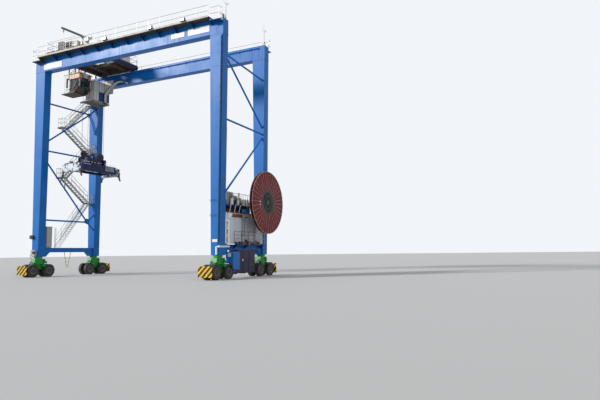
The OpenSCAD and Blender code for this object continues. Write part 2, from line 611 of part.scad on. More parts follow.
// Hoist machinery: rope drum on two bearings, gearbox, motors and a cabinet
drum_d = 900;
drum_z = deck_top + 750;
module drum_bearing(x) translate([x, 0, 0]) along(0, 220)
    polygon([[-560, deck_top], [560, deck_top], [330, drum_z + 250], [-330, drum_z + 250]]);
module hoist_machinery() color(DARK) place() {
    block([hoist_x - 1500, -frame_y - 100, deck_top], [hoist_x + 1500, -frame_y + 600, deck_top + 120]);
    block([hoist_x - 1450, -frame_y - 60, deck_top + 119], [hoist_x - 700, -frame_y + 560, deck_top + 900]);
    translate([hoist_x - 701, -frame_y + 250, deck_top + 520]) rotate([0, 90, 0]) cylinder(d = 620, h = 1300);
    block([hoist_x + 598, -frame_y - 20, deck_top + 119], [hoist_x + 1400, -frame_y + 500, deck_top + 700]);
    translate([hoist_x - 1400, 0, drum_z]) rotate([0, 90, 0]) cylinder(d = drum_d, h = 2800);
    for (x = [-1380, -20, 1340]) translate([hoist_x + x, 0, drum_z]) rotate([0, 90,
        0]) cylinder(d = drum_d + 160, h = 40);
    drum_bearing(hoist_x - 1600);
    drum_bearing(hoist_x + 1380);
    block([hoist_x + 1599, -650, deck_top], [hoist_x + 2300, 650, deck_top + 1150]);
    translate([hoist_x + 1900, 649, deck_top + 650]) rotate([-90, 0, 0]) cylinder(d = 560, h = 900);
    block([hoist_x - 1500, 1900, deck_top], [hoist_x + 1500, 3300, deck_top + 1500]);
    for (i = [0:5]) block([hoist_x - 1400 + i * 500, 1880, deck_top + 200],
        [hoist_x - 1000 + i * 500, 1901, deck_top + 1300]);
}

// Operator's cabin
cabin_wall = 60;
cabin_cut = 760;                             // run of the slanted foot window under the front window
cabin_rise = 560;
cabin_x1 = cabin_x0 + cabin_l;
foot_angle = atan2(cabin_rise, cabin_cut);
foot_l = norm([cabin_cut, cabin_rise]);

// Outline of the cabin, moved inwards by k
function cabin_profile(k) = [
    [cabin_x0 + k, cabin_z + k], [cabin_x1 - cabin_cut - k * tan(foot_angle / 2), cabin_z + k],
    [cabin_x1 - k, cabin_z + cabin_rise + k * tan(45 - foot_angle / 2)],
    [cabin_x1 - k, cabin_z + cabin_h - k], [cabin_x0 + k, cabin_z + cabin_h - k]];
window_z0 = cabin_z + 620;
window_z1 = cabin_z + 1720;
window_at = [[420, 1000], [1080, 1640], [1720, 2380]];

// Windows are cut with margin 0 and glazed with a small margin
module foot_window(margin, depth) translate([cabin_x1 - cabin_cut, 0, cabin_z]) rotate([0, -foot_angle, 0])
    block([110 + margin, -cabin_w / 2 + 140 + margin, -1],
        [foot_l - 110 - margin, cabin_w / 2 - 140 - margin, depth]);
module cabin_windows(margin, inside) {
    for (w = window_at, s = [-1, 1]) translate([0, s * (cabin_w / 2 - cabin_wall / 2), 0])
        block([cabin_x0 + w[0] + margin, -inside, window_z0 + margin],
            [cabin_x0 + w[1] - margin, inside, window_z1 - margin]);
    block([cabin_x1 - cabin_wall / 2 - inside, -cabin_w / 2 + 140 + margin, window_z0 + margin],
        [cabin_x1 - cabin_wall / 2 + inside, cabin_w / 2 - 140 - margin, window_z1 - margin]);
}
module cabin_body() color(WHITE) place() {
    difference() {
        across(-cabin_w / 2, cabin_w / 2) polygon(cabin_profile(0));
        across(-cabin_w / 2 + cabin_wall, cabin_w / 2 - cabin_wall) polygon(cabin_profile(cabin_wall));
        cabin_windows(0, cabin_wall);
        foot_window(0, 200);
    }
    block([cabin_x0 - 60, -cabin_w / 2 - 60, cabin_z + cabin_h - 90],
        [cabin_x1 + 160, cabin_w / 2 + 60, cabin_z + cabin_h]);
    block([cabin_x0 - 420, -cabin_w / 2, cabin_z - 60],
        [cabin_x1 - cabin_cut - 60, cabin_w / 2, cabin_z + 1]);
}
module cabin_glass() color(DARK) place() {
    cabin_windows(fit, 8);
    intersection() {
        foot_window(fit, 20);
        across(-cabin_w / 2, cabin_w / 2) polygon(cabin_profile(0));
    }
}

// Service jib on the trolley deck
jib_x = trolley_x1 - 250;
jib_y = -frame_y + 500;
jib_gap = 1150;                              // room for the boom to swing past the handrails
jib_pivot = 450;
boom_d = 230;
module service_jib() color(DARK) place() {
    translate([jib_x, jib_y, deck_top + fit]) {
        cylinder(d = 360, h = 60);
        cylinder(d = 180, h = jib_pivot + 400);
        translate([-150, -110, jib_pivot + 250]) cube([300, 220, 330]);
        bar([0, 0, jib_pivot + 400], [-4100, 0, jib_pivot + 2400], boom_d);
        bar([60, 0, 200], [-1300, 0, jib_pivot + 1000], boom_d / 2);
    }
}

// Headblock, ropes and spreader
block_z = spreader_z + 1250;
sheave_d = 860;
sheave_w = 90;

// Grooved rope sheave about the axis across the stack
module sheave() rotate([0, 90, 0]) {
    rotate_extrude() polygon([[0, -sheave_w / 2], [120, -sheave_w / 2], [120, -20], [sheave_d / 2 - 90, -20],
        [sheave_d / 2, -sheave_w / 2], [sheave_d / 2, -sheave_w / 2 + 14], [sheave_d / 2 - 40, 0],
        [sheave_d / 2, sheave_w / 2 - 14], [sheave_d / 2, sheave_w / 2], [sheave_d / 2 - 90, 20], [120, 20],
        [120, sheave_w / 2], [0, sheave_w / 2]]);
}
module headblock() color(BLUE) place() {
    for (x = [-500, 380]) block([hoist_x + x, -1400, block_z], [hoist_x + x + 120, 1400, block_z + 400]);
    block([hoist_x - 501, -400, block_z + 60], [hoist_x + 501, 400, block_z + 340]);
    for (y = [-rope_y - 80, rope_y + 80]) {
        block([hoist_x - 700, y - 170, block_z], [hoist_x + 700, y + 170, block_z + 500]);
        translate([hoist_x, y, block_z + 900]) sheave();
        for (x = [-110, 70]) translate([hoist_x + x, y, block_z]) along(0, 40)
            polygon([[-420, 380], [420, 380], [150, 1040], [-150, 1040]]);
        translate([hoist_x - 140, y, block_z + 900]) rotate([0, 90, 0]) cylinder(d = 130, h = 280);
    }
    for (s = [-1, 1]) block([hoist_x - 330, s * 700 - 200, block_z + 399],
        [hoist_x + 330, s * 700 + 200, block_z + 720]);
}
module hoist_ropes() color(DARK) place() for (x = [-rope_x, rope_x], y = [-rope_y, rope_y])
    translate([hoist_x + x, y, block_z + 500]) cylinder(d = 32, h = carriage_z - fit - block_z - 500);

// Spreader frame: two side beams and cross beams that guide the telescopic arms
side_h = 820;                                // depth of the spreader's side beams
side_t = 150;
frame_l = spreader_l / 2 - 560;
arm_w = 200;
arm_h = 360;
arm_z = spreader_z + 380;
arm_gap = 6;
arm_at = [300, 560];                         // places of the front and rear telescopic arms
side_z = spreader_z + 200;
side_x = spreader_w / 2 - 60;
tie_z = arm_z + arm_h + 60;
module spreader_frame() color(BLUE) place() {
    for (s = [-1, 1]) translate([hoist_x, 0, 0]) {
        block([min(s * side_x, s * (side_x - side_t)), -frame_l, side_z],
            [max(s * side_x, s * (side_x - side_t)), frame_l, side_z + side_h]);
        for (z = [side_z, side_z + side_h - 40])
            block([min(s * side_x, s * (side_x - 260)), -frame_l, z], [max(s * side_x, s * (side_x - 260)),
                frame_l, z + 40]);
        for (y = [-frame_l + 20:(2 * frame_l - 60) / 5:frame_l])
            block([min(s * (side_x - side_t + 1), s * (side_x - 250)), y, side_z + 39],
                [max(s * (side_x - side_t + 1), s * (side_x - 250)), y + 20, side_z + side_h - 39]);
    }
    difference() {
        for (y = [-frame_l, -1500, 1200, frame_l - 300])
            block([hoist_x - side_x + 1, y, side_z + 60], [hoist_x + side_x - 1, y + 300, tie_z]);
        for (s = [-1, 1], x = arm_at) translate([hoist_x + s * x, 0, arm_z])
            block([-arm_w / 2 - arm_gap, -frame_l - 1, -fit],
                [arm_w / 2 + arm_gap, frame_l + 1, arm_h + arm_gap]);
    }
    for (y = [-1480, 1220]) block([hoist_x - 600, y, tie_z - 1], [hoist_x + 600, y + 260, block_z]);
    for (s = [-1, 1], y = [-1500, 1200]) translate([hoist_x + s * 900, y, tie_z - 1])
        block([-90, 40, 0], [90, 220, 260]);
}

// End beams: two arms, a cross beam with twistlocks, and ears with a pin for each flipper
pin_z = spreader_z + 320;
pin_d = 70;
pin_out = spreader_w / 2 + 110;
module end_beam(s) {
    l = spreader_l / 2;
    x = s < 0 ? arm_at[0] : arm_at[1];
    for (t = [-1, 1]) translate([hoist_x + t * x, 0, arm_z])
        block([-arm_w / 2, min(-s * frame_l * 0.9, s * (l - 20)), 0],
            [arm_w / 2, max(-s * frame_l * 0.9, s * (l - 20)), arm_h]);
    difference() {
        block([hoist_x - spreader_w / 2, min(s * (l - 400), s * l), spreader_z],
            [hoist_x + spreader_w / 2, max(s * (l - 400), s * l), arm_z + arm_h - 120]);
        for (t = [-1, 1]) translate([hoist_x + t * (spreader_w / 2 - 95), s * (l - 200),
            spreader_z - 1]) cylinder(d = 120, h = 200);
    }
    block([hoist_x - 760, min(s * (l - 380), s * (l - 20)), arm_z + arm_h - 121],
        [hoist_x + 760, max(s * (l - 380), s * (l - 20)), arm_z + arm_h + 90]);
    for (t = [-1, 1]) translate([hoist_x + t * (spreader_w / 2 - 95), s * (l - 200), spreader_z]) {
        translate([0, 0, -90]) cylinder(d = 60, h = 289);
        translate([-70, -32, -130]) cube([140, 64, 60]);
        translate([-110, -110, 160]) cube([220, 220, 700]);
    }
    for (t = [-1, 1], k = [-1, 1]) translate([hoist_x + t * spreader_w / 2, s * (l - 200) + k * 105 - 15,
        pin_z])
        block([min(-t, t * 200), 0, -90], [max(-t, t * 200), 30, 90]);
    for (t = [-1, 1]) translate([hoist_x + t * pin_out, s * (l - 200) - 130, pin_z]) rotate([-90, 0,
        0]) cylinder(d = pin_d, h = 260);
}
module front_end_beam() color(WHITE) place() end_beam(-1);
module rear_end_beam() color(WHITE) place() end_beam(1);

// Flippers: guide arms that swing on the pins
flipper_l = 880;
flipper_h = 168;
module flipper(sx, sy) translate([hoist_x + sx * pin_out, sy * (spreader_l / 2 - 200), pin_z])
    difference() {
        union() {
            rotate([90, 0, 0]) translate([0, 0, -flipper_h / 2]) cylinder(d = 150, h = flipper_h);
            rotate([90, 0, 0]) linear_extrude(flipper_h, center = true)
                polygon([for (p = [[-60, 0], [62, 0], [75, -300], [110, -620], [230, -flipper_l],
                    [160, -flipper_l - 30],
                    [20, -640], [-60, -320]]) [sx * p[0], p[1]]]);
        }
        rotate([90, 0, 0]) cylinder(d = pin_d + 2 * fit, h = 300, center = true);
    }
module flipper_front_left() color(DARK) place() flipper(-1, -1);
module flipper_front_right() color(DARK) place() flipper(1, -1);
module flipper_rear_left() color(DARK) place() flipper(-1, 1);
module flipper_rear_right() color(DARK) place() flipper(1, 1);

// Cable reel: two spoked discs with a rim, round a core that carries the wound cable. A thin cheek plate
// closes the inner disc, and a ring of the same plate closes the outer one outside the wound cable.
cheek_t = 7;
core_d = 1900;
wound_d = 2500;
module cable_reel() color(RED) place() translate([reel_x, reel_y, reel_z]) rotate([0, 90, 0]) {
    translate([0, 0, -reel_w / 2]) cylinder(d = 500, h = reel_w);
    difference() {
        translate([0, 0, -reel_w / 2 + 20]) cylinder(d = core_d, h = reel_w - 40);
        translate([0, 0, -reel_w / 2]) cylinder(d = core_d - 200, h = reel_w);
    }
    translate([0, 0, -reel_w / 2 + 26]) cylinder(d = reel_d - 100, h = cheek_t);
    difference() {
        translate([0, 0, reel_w / 2 - 26 - cheek_t]) cylinder(d = reel_d - 100, h = cheek_t);
        cylinder(d = wound_d + 20, h = reel_w);
    }
    for (s = [-1, 1]) translate([0, 0, s * (reel_w / 2 - 15)]) {
        translate([0, 0, -18]) cylinder(d = 1500, h = 36);
        for (i = [0:reel_spokes - 1]) rotate([0, 0, i * 360 / reel_spokes])
            translate([700, -20, -12]) cube([reel_d / 2 - 730, 40, 24]);
        difference() {
            translate([0, 0, -15]) cylinder(d = reel_d, h = 30);
            translate([0, 0, -16]) cylinder(d = reel_d - 120, h = 32);
        }
    }
}
module reel_cable() color(DARK) place() translate([reel_x, reel_y, reel_z]) rotate([0, 90, 0])
    difference() {
        translate([0, 0, -reel_w / 2 + 26 + cheek_t + fit])
            cylinder(d = wound_d, h = reel_w - 2 * (26 + cheek_t + fit));
        translate([0, 0, -reel_w / 2]) cylinder(d = core_d + 2 * fit, h = reel_w);
    }

// Bogies: slewing ring, head and a beam that runs between the twin tyres
guard_out = wheelbase / 2 + tyre_d / 2 + 250;
guard_w = 740;
motor_d = 260;
module bogie(s) {
    a = wheelbase / 2;
    z = tyre_d / 2;
    translate([0, 0, foot_z - 160]) cylinder(d = 860, h = 160 - fit);
    translate([0, 0, foot_z - 220]) cylinder(d = 700, h = 61);
    difference() {
        along(-330, 330) polygon([[-720, foot_z - 640], [-620, foot_z - 219], [620, foot_z - 219],
            [720, foot_z - 640],
            [480, foot_z - 760], [-480, foot_z - 760]]);
        for (x = [-331, 210]) block([x, -560, foot_z - 700], [x + 121, 560, foot_z - 300]);
    }
    difference() {
        along(-bogie_t / 2, bogie_t / 2) polygon([[-a - 250, z - 110], [-a - 250, z + 170],
            [-a - 60, z + 330], [-a + 300, z + 600],
            [-620, foot_z - 560], [620, foot_z - 560], [a - 300, z + 600], [a + 60, z + 330],
                [a + 250, z + 170],
            [a + 250, z - 110], [a - 200, z - 110], [500, z + 150], [-500, z + 150], [-a + 200, z - 110]]);
        for (t = [-1, 1]) translate([-bogie_t, t * a, z]) rotate([0, 90, 0]) cylinder(d = axle_d + 2 * fit,
            h = 2 * bogie_t);
        for (t = [-1, 1]) translate([-bogie_t, t * (a - 420), z + 290]) rotate([0, 90, 0])
            cylinder(d = 170, h = 2 * bogie_t);
    }
    for (t = [-1, 1]) {
        block([-bogie_t / 2 - 40, t * (a - 60) - 340, z + 600],
            [bogie_t / 2 + 40, t * (a - 60) + 340, z + 640]);
        block([-bogie_t / 2, t * (a - 60) - 20, z + 250], [bogie_t / 2, t * (a - 60) + 20, z + 601]);
    }
    translate([bogie_t / 2 - 1, -s * (a - 640), z + 560]) rotate([0, 90, 0]) cylinder(d = motor_d, h = 420);
    translate([-60, -s * (a - 640) - 180, z + 380]) cube([bogie_t / 2 + 110, 360, 360]);
    block([-60, min(s * (a + 240), s * guard_out), z - 60], [60, max(s * (a + 240), s * guard_out), z + 60]);
    for (x = [-500, 440]) block([x, min(s * (guard_out - 220), s * guard_out), z - 20],
        [x + 60, max(s * (guard_out - 220), s * guard_out), z + 20]);
    block([-500, min(s * (guard_out - 230), s * (guard_out - 195)), z - 30],
        [500, max(s * (guard_out - 230), s * (guard_out - 195)), z + 30]);
    difference() {
        block([-guard_w, min(s * guard_out, s * (guard_out + 40)), 250],
            [guard_w, max(s * guard_out, s * (guard_out + 40)), 1240]);
        for (t = [-1, 1]) translate([t * (guard_w - 120), s * guard_out, 1100]) rotate([90, 0, 0])
            cylinder(d = 90, h = 200, center = true);
    }
}
module bogie_front_left() color(GREEN) place() translate([-track_x, -frame_y, 0]) bogie(-1);
module bogie_front_right() color(GREEN) place() translate([track_x, -frame_y, 0]) bogie(-1);
module bogie_rear_left() color(GREEN) place() translate([-track_x, frame_y, 0]) bogie(1);
module bogie_rear_right() color(GREEN) place() translate([track_x, frame_y, 0]) bogie(1);

// Axle with its two tyres
module axle(sx, sy, t) color(DARK) place()
    translate([sx * track_x, sy * frame_y + t * wheelbase / 2, tyre_d / 2]) rotate([0, 90, 0]) {
        cylinder(d = axle_d, h = tyre_gauge, center = true);
        r = tyre_d / 2;
        for (g = [-1, 1]) translate([0, 0, g * tyre_gauge / 2]) {
            rotate_extrude() polygon([[0, -60], [rim_d / 2, -60], [rim_d / 2, -tyre_w / 2 + 20],
                [rim_d / 2 + 60, -tyre_w / 2], [r - 90, -tyre_w / 2], [r, -tyre_w / 2 + 60],
                [r, tyre_w / 2 - 60], [r - 90, tyre_w / 2], [rim_d / 2 + 60, tyre_w / 2],
                [rim_d / 2, tyre_w / 2 - 20], [rim_d / 2, 60], [0, 60]]);
            for (f = [-1, 1]) {
                translate([0, 0, f * 110 - 60]) cylinder(d = 330, h = 120);
                translate([0, 0, f * 170 - 10]) cylinder(d = 190, h = 20);
            }
        }
    }
module axle_front_left_a() axle(-1, -1, -1);
module axle_front_left_b() axle(-1, -1, 1);
module axle_front_right_a() axle(1, -1, -1);
module axle_front_right_b() axle(1, -1, 1);
module axle_rear_left_a() axle(-1, 1, -1);
module axle_rear_left_b() axle(-1, 1, 1);
module axle_rear_right_a() axle(1, 1, -1);
module axle_rear_right_b() axle(1, 1, 1);

front_girder();
rear_girder();
front_left_leg();
front_right_leg();
rear_left_leg();
rear_right_leg();
left_sill_beam();
right_sill_beam();
left_bracing();
right_bracing();
trolley_rails();
girder_walkways();
walkway_handrails();
stair_stringers();
stair_treads();
stair_landings();
stair_handrails();
access_platform();
access_panels();
electrical_house();
electrical_house_roof();
service_platform();
service_handrails();
roof_units();
reel_support();
power_box();
ground_ladder();
left_cabinet();
masts();
floodlights();
tie_down_stays();
trolley_frame();
trolley_handrails();
hoist_machinery();
cabin_body();
cabin_glass();
service_jib();
headblock();
hoist_ropes();
spreader_frame();
front_end_beam();
rear_end_beam();
flipper_front_left();
flipper_front_right();
flipper_rear_left();
flipper_rear_right();
cable_reel();
reel_cable();
bogie_front_left();
bogie_front_right();
bogie_rear_left();
bogie_rear_right();
axle_front_left_a();
axle_front_left_b();
axle_front_right_a();
axle_front_right_b();
axle_rear_left_a();
axle_rear_left_b();
axle_rear_right_a();
axle_rear_right_b();
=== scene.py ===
# %% [markdown]
# # A rubber tyred gantry crane
# This crane straddles six rows of containers. Two portal frames stand on steered bogies, and a trolley
# with the driver's cabin runs on top. The imported model already has every piece at its real size.
# The first cell loads it.

# %% Load the frame
import json
import math

import bpy
from mathutils import Matrix, Vector


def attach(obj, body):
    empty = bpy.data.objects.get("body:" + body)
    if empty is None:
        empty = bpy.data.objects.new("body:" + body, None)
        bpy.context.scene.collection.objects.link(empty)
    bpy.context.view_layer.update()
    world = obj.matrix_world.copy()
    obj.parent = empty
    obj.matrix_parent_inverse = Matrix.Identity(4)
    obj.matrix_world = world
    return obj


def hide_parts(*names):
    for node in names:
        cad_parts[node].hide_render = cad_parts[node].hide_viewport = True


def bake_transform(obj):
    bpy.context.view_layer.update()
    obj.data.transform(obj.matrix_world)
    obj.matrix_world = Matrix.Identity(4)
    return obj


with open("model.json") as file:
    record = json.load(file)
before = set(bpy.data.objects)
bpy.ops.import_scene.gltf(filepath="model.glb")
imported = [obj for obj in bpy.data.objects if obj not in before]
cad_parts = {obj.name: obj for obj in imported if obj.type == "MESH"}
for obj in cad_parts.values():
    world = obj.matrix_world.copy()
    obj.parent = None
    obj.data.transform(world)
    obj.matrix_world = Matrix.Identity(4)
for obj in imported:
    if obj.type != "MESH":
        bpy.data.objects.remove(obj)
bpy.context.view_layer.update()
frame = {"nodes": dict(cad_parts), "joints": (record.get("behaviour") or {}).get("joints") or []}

SIDES = (-1, 1)                         # front and rear, left and right: most things come in pairs
nodes = frame["nodes"]
joints = {joint["name"]: joint for joint in frame["joints"]}
print("pieces:", len(nodes), "joints:", len(joints))

# %% [markdown]
# ## The camera
# The photograph was taken from the ground with a normal lens. The vanishing points of the girders, the
# legs and the sill beams give the place, the turn and the lens, so they are written here as plain numbers.

# %% Set up the camera
CAMERA_PLACE = (39.39, -45.08, 2.42)
CAMERA_TURN = (95.41, 0.65, 25.92)      # degrees about X, Y and Z
LENS_MM = 32.69

camera_data = bpy.data.cameras.new("camera")
camera_data.lens = LENS_MM
camera_data.sensor_width = 36
camera_data.clip_end = 900
camera = bpy.data.objects.new("camera", camera_data)
camera.location = CAMERA_PLACE
camera.rotation_euler = [math.radians(angle) for angle in CAMERA_TURN]
bpy.context.collection.objects.link(camera)
bpy.context.scene.camera = camera
bpy.context.scene.view_settings.view_transform = "Standard"
print("camera at", CAMERA_PLACE, "lens", LENS_MM)

# %% [markdown]
# ## Helpers for meshes
# Most small pieces are plates, bars and tubes. A small maker class collects their corners and faces, so
# that one real piece, such as a railing or a hose set, becomes one mesh. Its place stays in the mesh.

# %% A maker for plates, bars and tubes
class Maker:
    """Collects closed solids into one mesh, in metres, in the crane's own frame."""

    def __init__(self):
        self.points, self.faces = [], []

    def add(self, points, faces):
        first = len(self.points)
        self.points += [tuple(point) for point in points]
        self.faces += [tuple(first + i for i in face) for face in faces]

    def block(self, corner, opposite):
        """A box between two opposite corners, given in any order."""
        sides = [sorted(pair) for pair in zip(corner, opposite)]
        corners = [(x, y, z) for x in sides[0] for y in sides[1] for z in sides[2]]
        self.add(corners, [(0, 1, 3, 2), (4, 6, 7, 5), (0, 4, 5, 1), (2, 3, 7, 6), (0, 2, 6, 4),
                           (1, 5, 7, 3)])

    def tube(self, path, radius, sides=8, closed=False):
        """A round bar that follows the path, with flat ends."""
        path = [Vector(point) for point in path]
        count = len(path)
        side = None
        rings = []
        for i, here in enumerate(path):
            before = path[i - 1] if i or closed else here
            after = path[(i + 1) % count] if i + 1 < count or closed else here
            along = (after - before).normalized()
            if side is None:
                side = along.orthogonal().normalized()
            side = (side - along * side.dot(along)).normalized()
            up = along.cross(side)
            rings.append([here + (side * math.cos(a) + up * math.sin(a)) * radius
                          for a in (2 * math.pi * k / sides for k in range(sides))])
        faces = []
        spans = count if closed else count - 1
        for i in range(spans):
            a, b = i * sides, (i + 1) % count * sides
            faces += [(a + k, a + (k + 1) % sides, b + (k + 1) % sides, b + k) for k in range(sides)]
        if not closed:
            faces += [tuple(reversed(range(sides))), tuple((count - 1) * sides + k for k in range(sides))]
        self.add([point for ring in rings for point in ring], faces)

    def disc(self, centre, axis, radius, depth, sides=32):
        """A short round bar, centred on a point."""
        half = Vector(axis).normalized() * depth / 2
        self.tube([Vector(centre) - half, Vector(centre) + half], radius, sides)

    def prism(self, outline, axis, low, high):
        """An outline in the plane across an axis, pushed along it between two places."""
        low, high = sorted((low, high))
        place = {"x": lambda u, v, w: (w, u, v), "y": lambda u, v, w: (u, w, v),
                 "z": lambda u, v, w: (u, v, w)}[axis]
        area = sum(a[0] * b[1] - b[0] * a[1] for a, b in zip(outline, outline[1:] + outline[:1]))
        if (area < 0) != (axis == "y"):
            outline = outline[::-1]
        n = len(outline)
        points = [place(u, v, low) for u, v in outline] + [place(u, v, high) for u, v in outline]
        faces = [(k, (k + 1) % n, n + (k + 1) % n, n + k) for k in range(n)]
        self.add(points, faces + [tuple(reversed(range(n))), tuple(range(n, 2 * n))])

    def make(self, name, body, material, slot, smooth=False):
        mesh = bpy.data.meshes.new(name)
        mesh.from_pydata(self.points, [], self.faces)
        mesh.materials.append(material)
        mesh.polygons.foreach_set("use_smooth", [smooth] * len(mesh.polygons))
        if smooth:
            mesh.set_sharp_from_angle(angle=math.radians(40))
        piece = bpy.data.objects.new(name, mesh)
        bpy.context.collection.objects.link(piece)
        if body:
            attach(piece, body)
        return piece


print("maker ready")

# %% [markdown]
# ## Helpers for materials
# A material is a Principled BSDF with a few nodes in front of it. Effects that several finishes share are
# node groups with named sockets, so that each finish only sets its own values.

# %% Short ways to build nodes
class Graph:
    """Adds and links nodes in a material or a node group."""

    def __init__(self, tree):
        self.tree = tree

    def node(self, kind, settings=None, **inputs):
        item = self.tree.nodes.new(kind)
        for name, value in (settings or {}).items():
            setattr(item, name, value)
        for name, value in inputs.items():
            self.feed(item.inputs[name.replace("_", " ")], value)
        return item

    def feed(self, socket, value):
        """Link a socket or set its value. Colours come without their alpha."""
        if isinstance(value, bpy.types.NodeSocket):
            self.tree.links.new(value, socket)
        else:
            socket.default_value = (*value, 1.0) if socket.type == "RGBA" else value

    def math(self, operation, a, b=0.0, clamp=False):
        item = self.tree.nodes.new("ShaderNodeMath")
        item.operation = operation
        item.use_clamp = clamp
        self.feed(item.inputs[0], a)
        self.feed(item.inputs[1], b)
        return item.outputs[0]

    def times(self, a, b):
        return self.math("MULTIPLY", a, b)

    def plus(self, a, b, clamp=False):
        return self.math("ADD", a, b, clamp)

    def above(self, a, b):
        return self.math("GREATER_THAN", a, b)

    def below(self, a, b):
        return self.math("LESS_THAN", a, b)

    def mix(self, share, a, b):
        item = self.tree.nodes.new("ShaderNodeMix")
        item.data_type = "RGBA"
        self.feed(item.inputs[0], share)
        self.feed(item.inputs[6], a)
        self.feed(item.inputs[7], b)
        return item.outputs[2]

    def ramp(self, value, low, high):
        """0 below low, 1 above high, and straight between them."""
        item = self.node("ShaderNodeMapRange", Value=value, From_Min=low, From_Max=high)
        return item.outputs[0]

    def noise(self, vector, scale, detail=3.0, roughness=0.5):
        item = self.node("ShaderNodeTexNoise", Vector=vector, Scale=scale, Detail=detail, Roughness=roughness)
        return item.outputs[0]

    def stretch(self, vector, factors):
        item = self.node("ShaderNodeVectorMath", {"operation": "MULTIPLY"})
        self.feed(item.inputs[0], vector)
        self.feed(item.inputs[1], factors)
        return item.outputs[0]


def new_group(name, inputs, outputs):
    """A shader node group with named sockets. Returns its graph, its inputs and its output node."""
    group = bpy.data.node_groups.new(name, "ShaderNodeTree")
    for label, kind, value in inputs:
        socket = group.interface.new_socket(label, in_out="INPUT", socket_type=kind)
        socket.default_value = value
    for label, kind in outputs:
        group.interface.new_socket(label, in_out="OUTPUT", socket_type=kind)
    graph = Graph(group)
    entry = group.nodes.new("NodeGroupInput")
    leave = group.nodes.new("NodeGroupOutput")
    return graph, entry.outputs, leave


FLOAT, COLOUR, VECTOR = "NodeSocketFloat", "NodeSocketColor", "NodeSocketVector"
print("graph helpers ready")

# %% [markdown]
# ## Weathering, as one shared effect
# Paint on a yard crane fades in patches, rain draws dark streaks down it, and dust sticks to it. All of
# that is noise at different sizes, so it is one group. It puts out a colour, a roughness and a height.

# %% The weathering group
graph, given, leave = new_group("weathering", [
    ("Vector", VECTOR, (0, 0, 0)), ("Paint", COLOUR, (0.5, 0.5, 0.5, 1)),
    ("Faded", COLOUR, (0.7, 0.7, 0.7, 1)), ("Dirt", COLOUR, (0.1, 0.08, 0.06, 1)),
    ("Fading", FLOAT, 0.5), ("Streaks", FLOAT, 0.3), ("Gloss", FLOAT, 0.35)],
    [("Color", COLOUR), ("Roughness", FLOAT), ("Height", FLOAT)])
patches = graph.ramp(graph.noise(given["Vector"], 0.35, 5.0, 0.6), 0.35, 0.7)
faded = graph.mix(graph.times(patches, given["Fading"]), given["Paint"], given["Faded"])
rain = graph.noise(graph.stretch(given["Vector"], (5.0, 5.0, 0.22)), 1.0, 5.0, 0.65)
wide = graph.noise(graph.stretch(given["Vector"], (1.1, 1.1, 0.5)), 1.0, 3.0)
streaks = graph.times(graph.ramp(rain, 0.5, 0.78), graph.ramp(wide, 0.35, 0.65))
streaks = graph.times(streaks, given["Streaks"])
stained = graph.mix(streaks, faded, given["Dirt"])
specks = graph.ramp(graph.noise(given["Vector"], 26.0, 4.0, 0.7), 0.66, 0.74)
specks = graph.times(specks, graph.times(given["Streaks"], 0.6))
graph.feed(leave.inputs["Color"], graph.mix(specks, stained, given["Dirt"]))
rough = graph.plus(given["Gloss"], graph.times(patches, 0.12))
graph.feed(leave.inputs["Roughness"], graph.plus(rough, graph.times(streaks, 0.4), clamp=True))
dents = graph.noise(given["Vector"], 1.7, 2.0)
graph.feed(leave.inputs["Height"], graph.plus(dents, graph.times(specks, -0.2)))
WEATHERING = graph.tree
print("group:", WEATHERING.name)

# %% [markdown]
# ## Seams, stripes and rust, as shared effects
# Box girders are welded from plates, and each butt weld shows as a thin line. Guards carry slanted
# stripes. Rust is a patchy mask. Each is a small group that only puts out a mask.

# %% The seam, stripe and rust groups
graph, given, leave = new_group("bands", [
    ("Vector", VECTOR, (0, 0, 0)), ("Direction", VECTOR, (1, 0, 0)), ("Spacing", FLOAT, 3.0),
    ("Share", FLOAT, 0.5), ("Shift", FLOAT, 0.0)], [("Mask", FLOAT)])
along = graph.node("ShaderNodeVectorMath", {"operation": "DOT_PRODUCT"})
graph.feed(along.inputs[0], given["Vector"])
graph.feed(along.inputs[1], given["Direction"])
place = graph.plus(along.outputs["Value"], given["Shift"])
phase = graph.math("FRACT", graph.math("DIVIDE", place, given["Spacing"]))
graph.feed(leave.inputs["Mask"], graph.below(phase, given["Share"]))
BANDS = graph.tree

graph, given, leave = new_group("rusting", [
    ("Vector", VECTOR, (0, 0, 0)), ("Amount", FLOAT, 0.5), ("Scale", FLOAT, 3.0)],
    [("Mask", FLOAT), ("Color", COLOUR)])
blotch = graph.noise(given["Vector"], given["Scale"], 8.0, 0.68)
level = graph.math("SUBTRACT", 0.82, graph.times(given["Amount"], 0.5))
mask = graph.ramp(blotch, level, graph.plus(level, 0.07))
graph.feed(leave.inputs["Mask"], mask)
tone = graph.noise(given["Vector"], 9.0, 4.0)
graph.feed(leave.inputs["Color"], graph.mix(tone, (0.085, 0.022, 0.008), (0.30, 0.10, 0.03)))
RUSTING = graph.tree
print("groups:", BANDS.name, RUSTING.name)

# %% [markdown]
# ## One recipe for painted steel
# Every painted piece uses the same recipe with its own values: the weathering group for colour and
# gloss, weld seams for the large boxes, and a rust mask where the real paint has broken through.

# %% Painted steel
def use_group(graph, group, **inputs):
    item = graph.node("ShaderNodeGroup", {"node_tree": group})
    for name, value in inputs.items():
        graph.feed(item.inputs[name], value)
    return item.outputs


def new_material(name, metallic=0.0, coat=0.0):
    material = bpy.data.materials.new(name)
    material.use_nodes = True
    graph = Graph(material.node_tree)
    shader = material.node_tree.nodes["Principled BSDF"]
    shader.inputs["Metallic"].default_value = metallic
    shader.inputs["Coat Weight"].default_value = coat
    shader.inputs["Coat Roughness"].default_value = 0.22
    place = graph.node("ShaderNodeTexCoord").outputs["Object"]
    return material, graph, shader, place


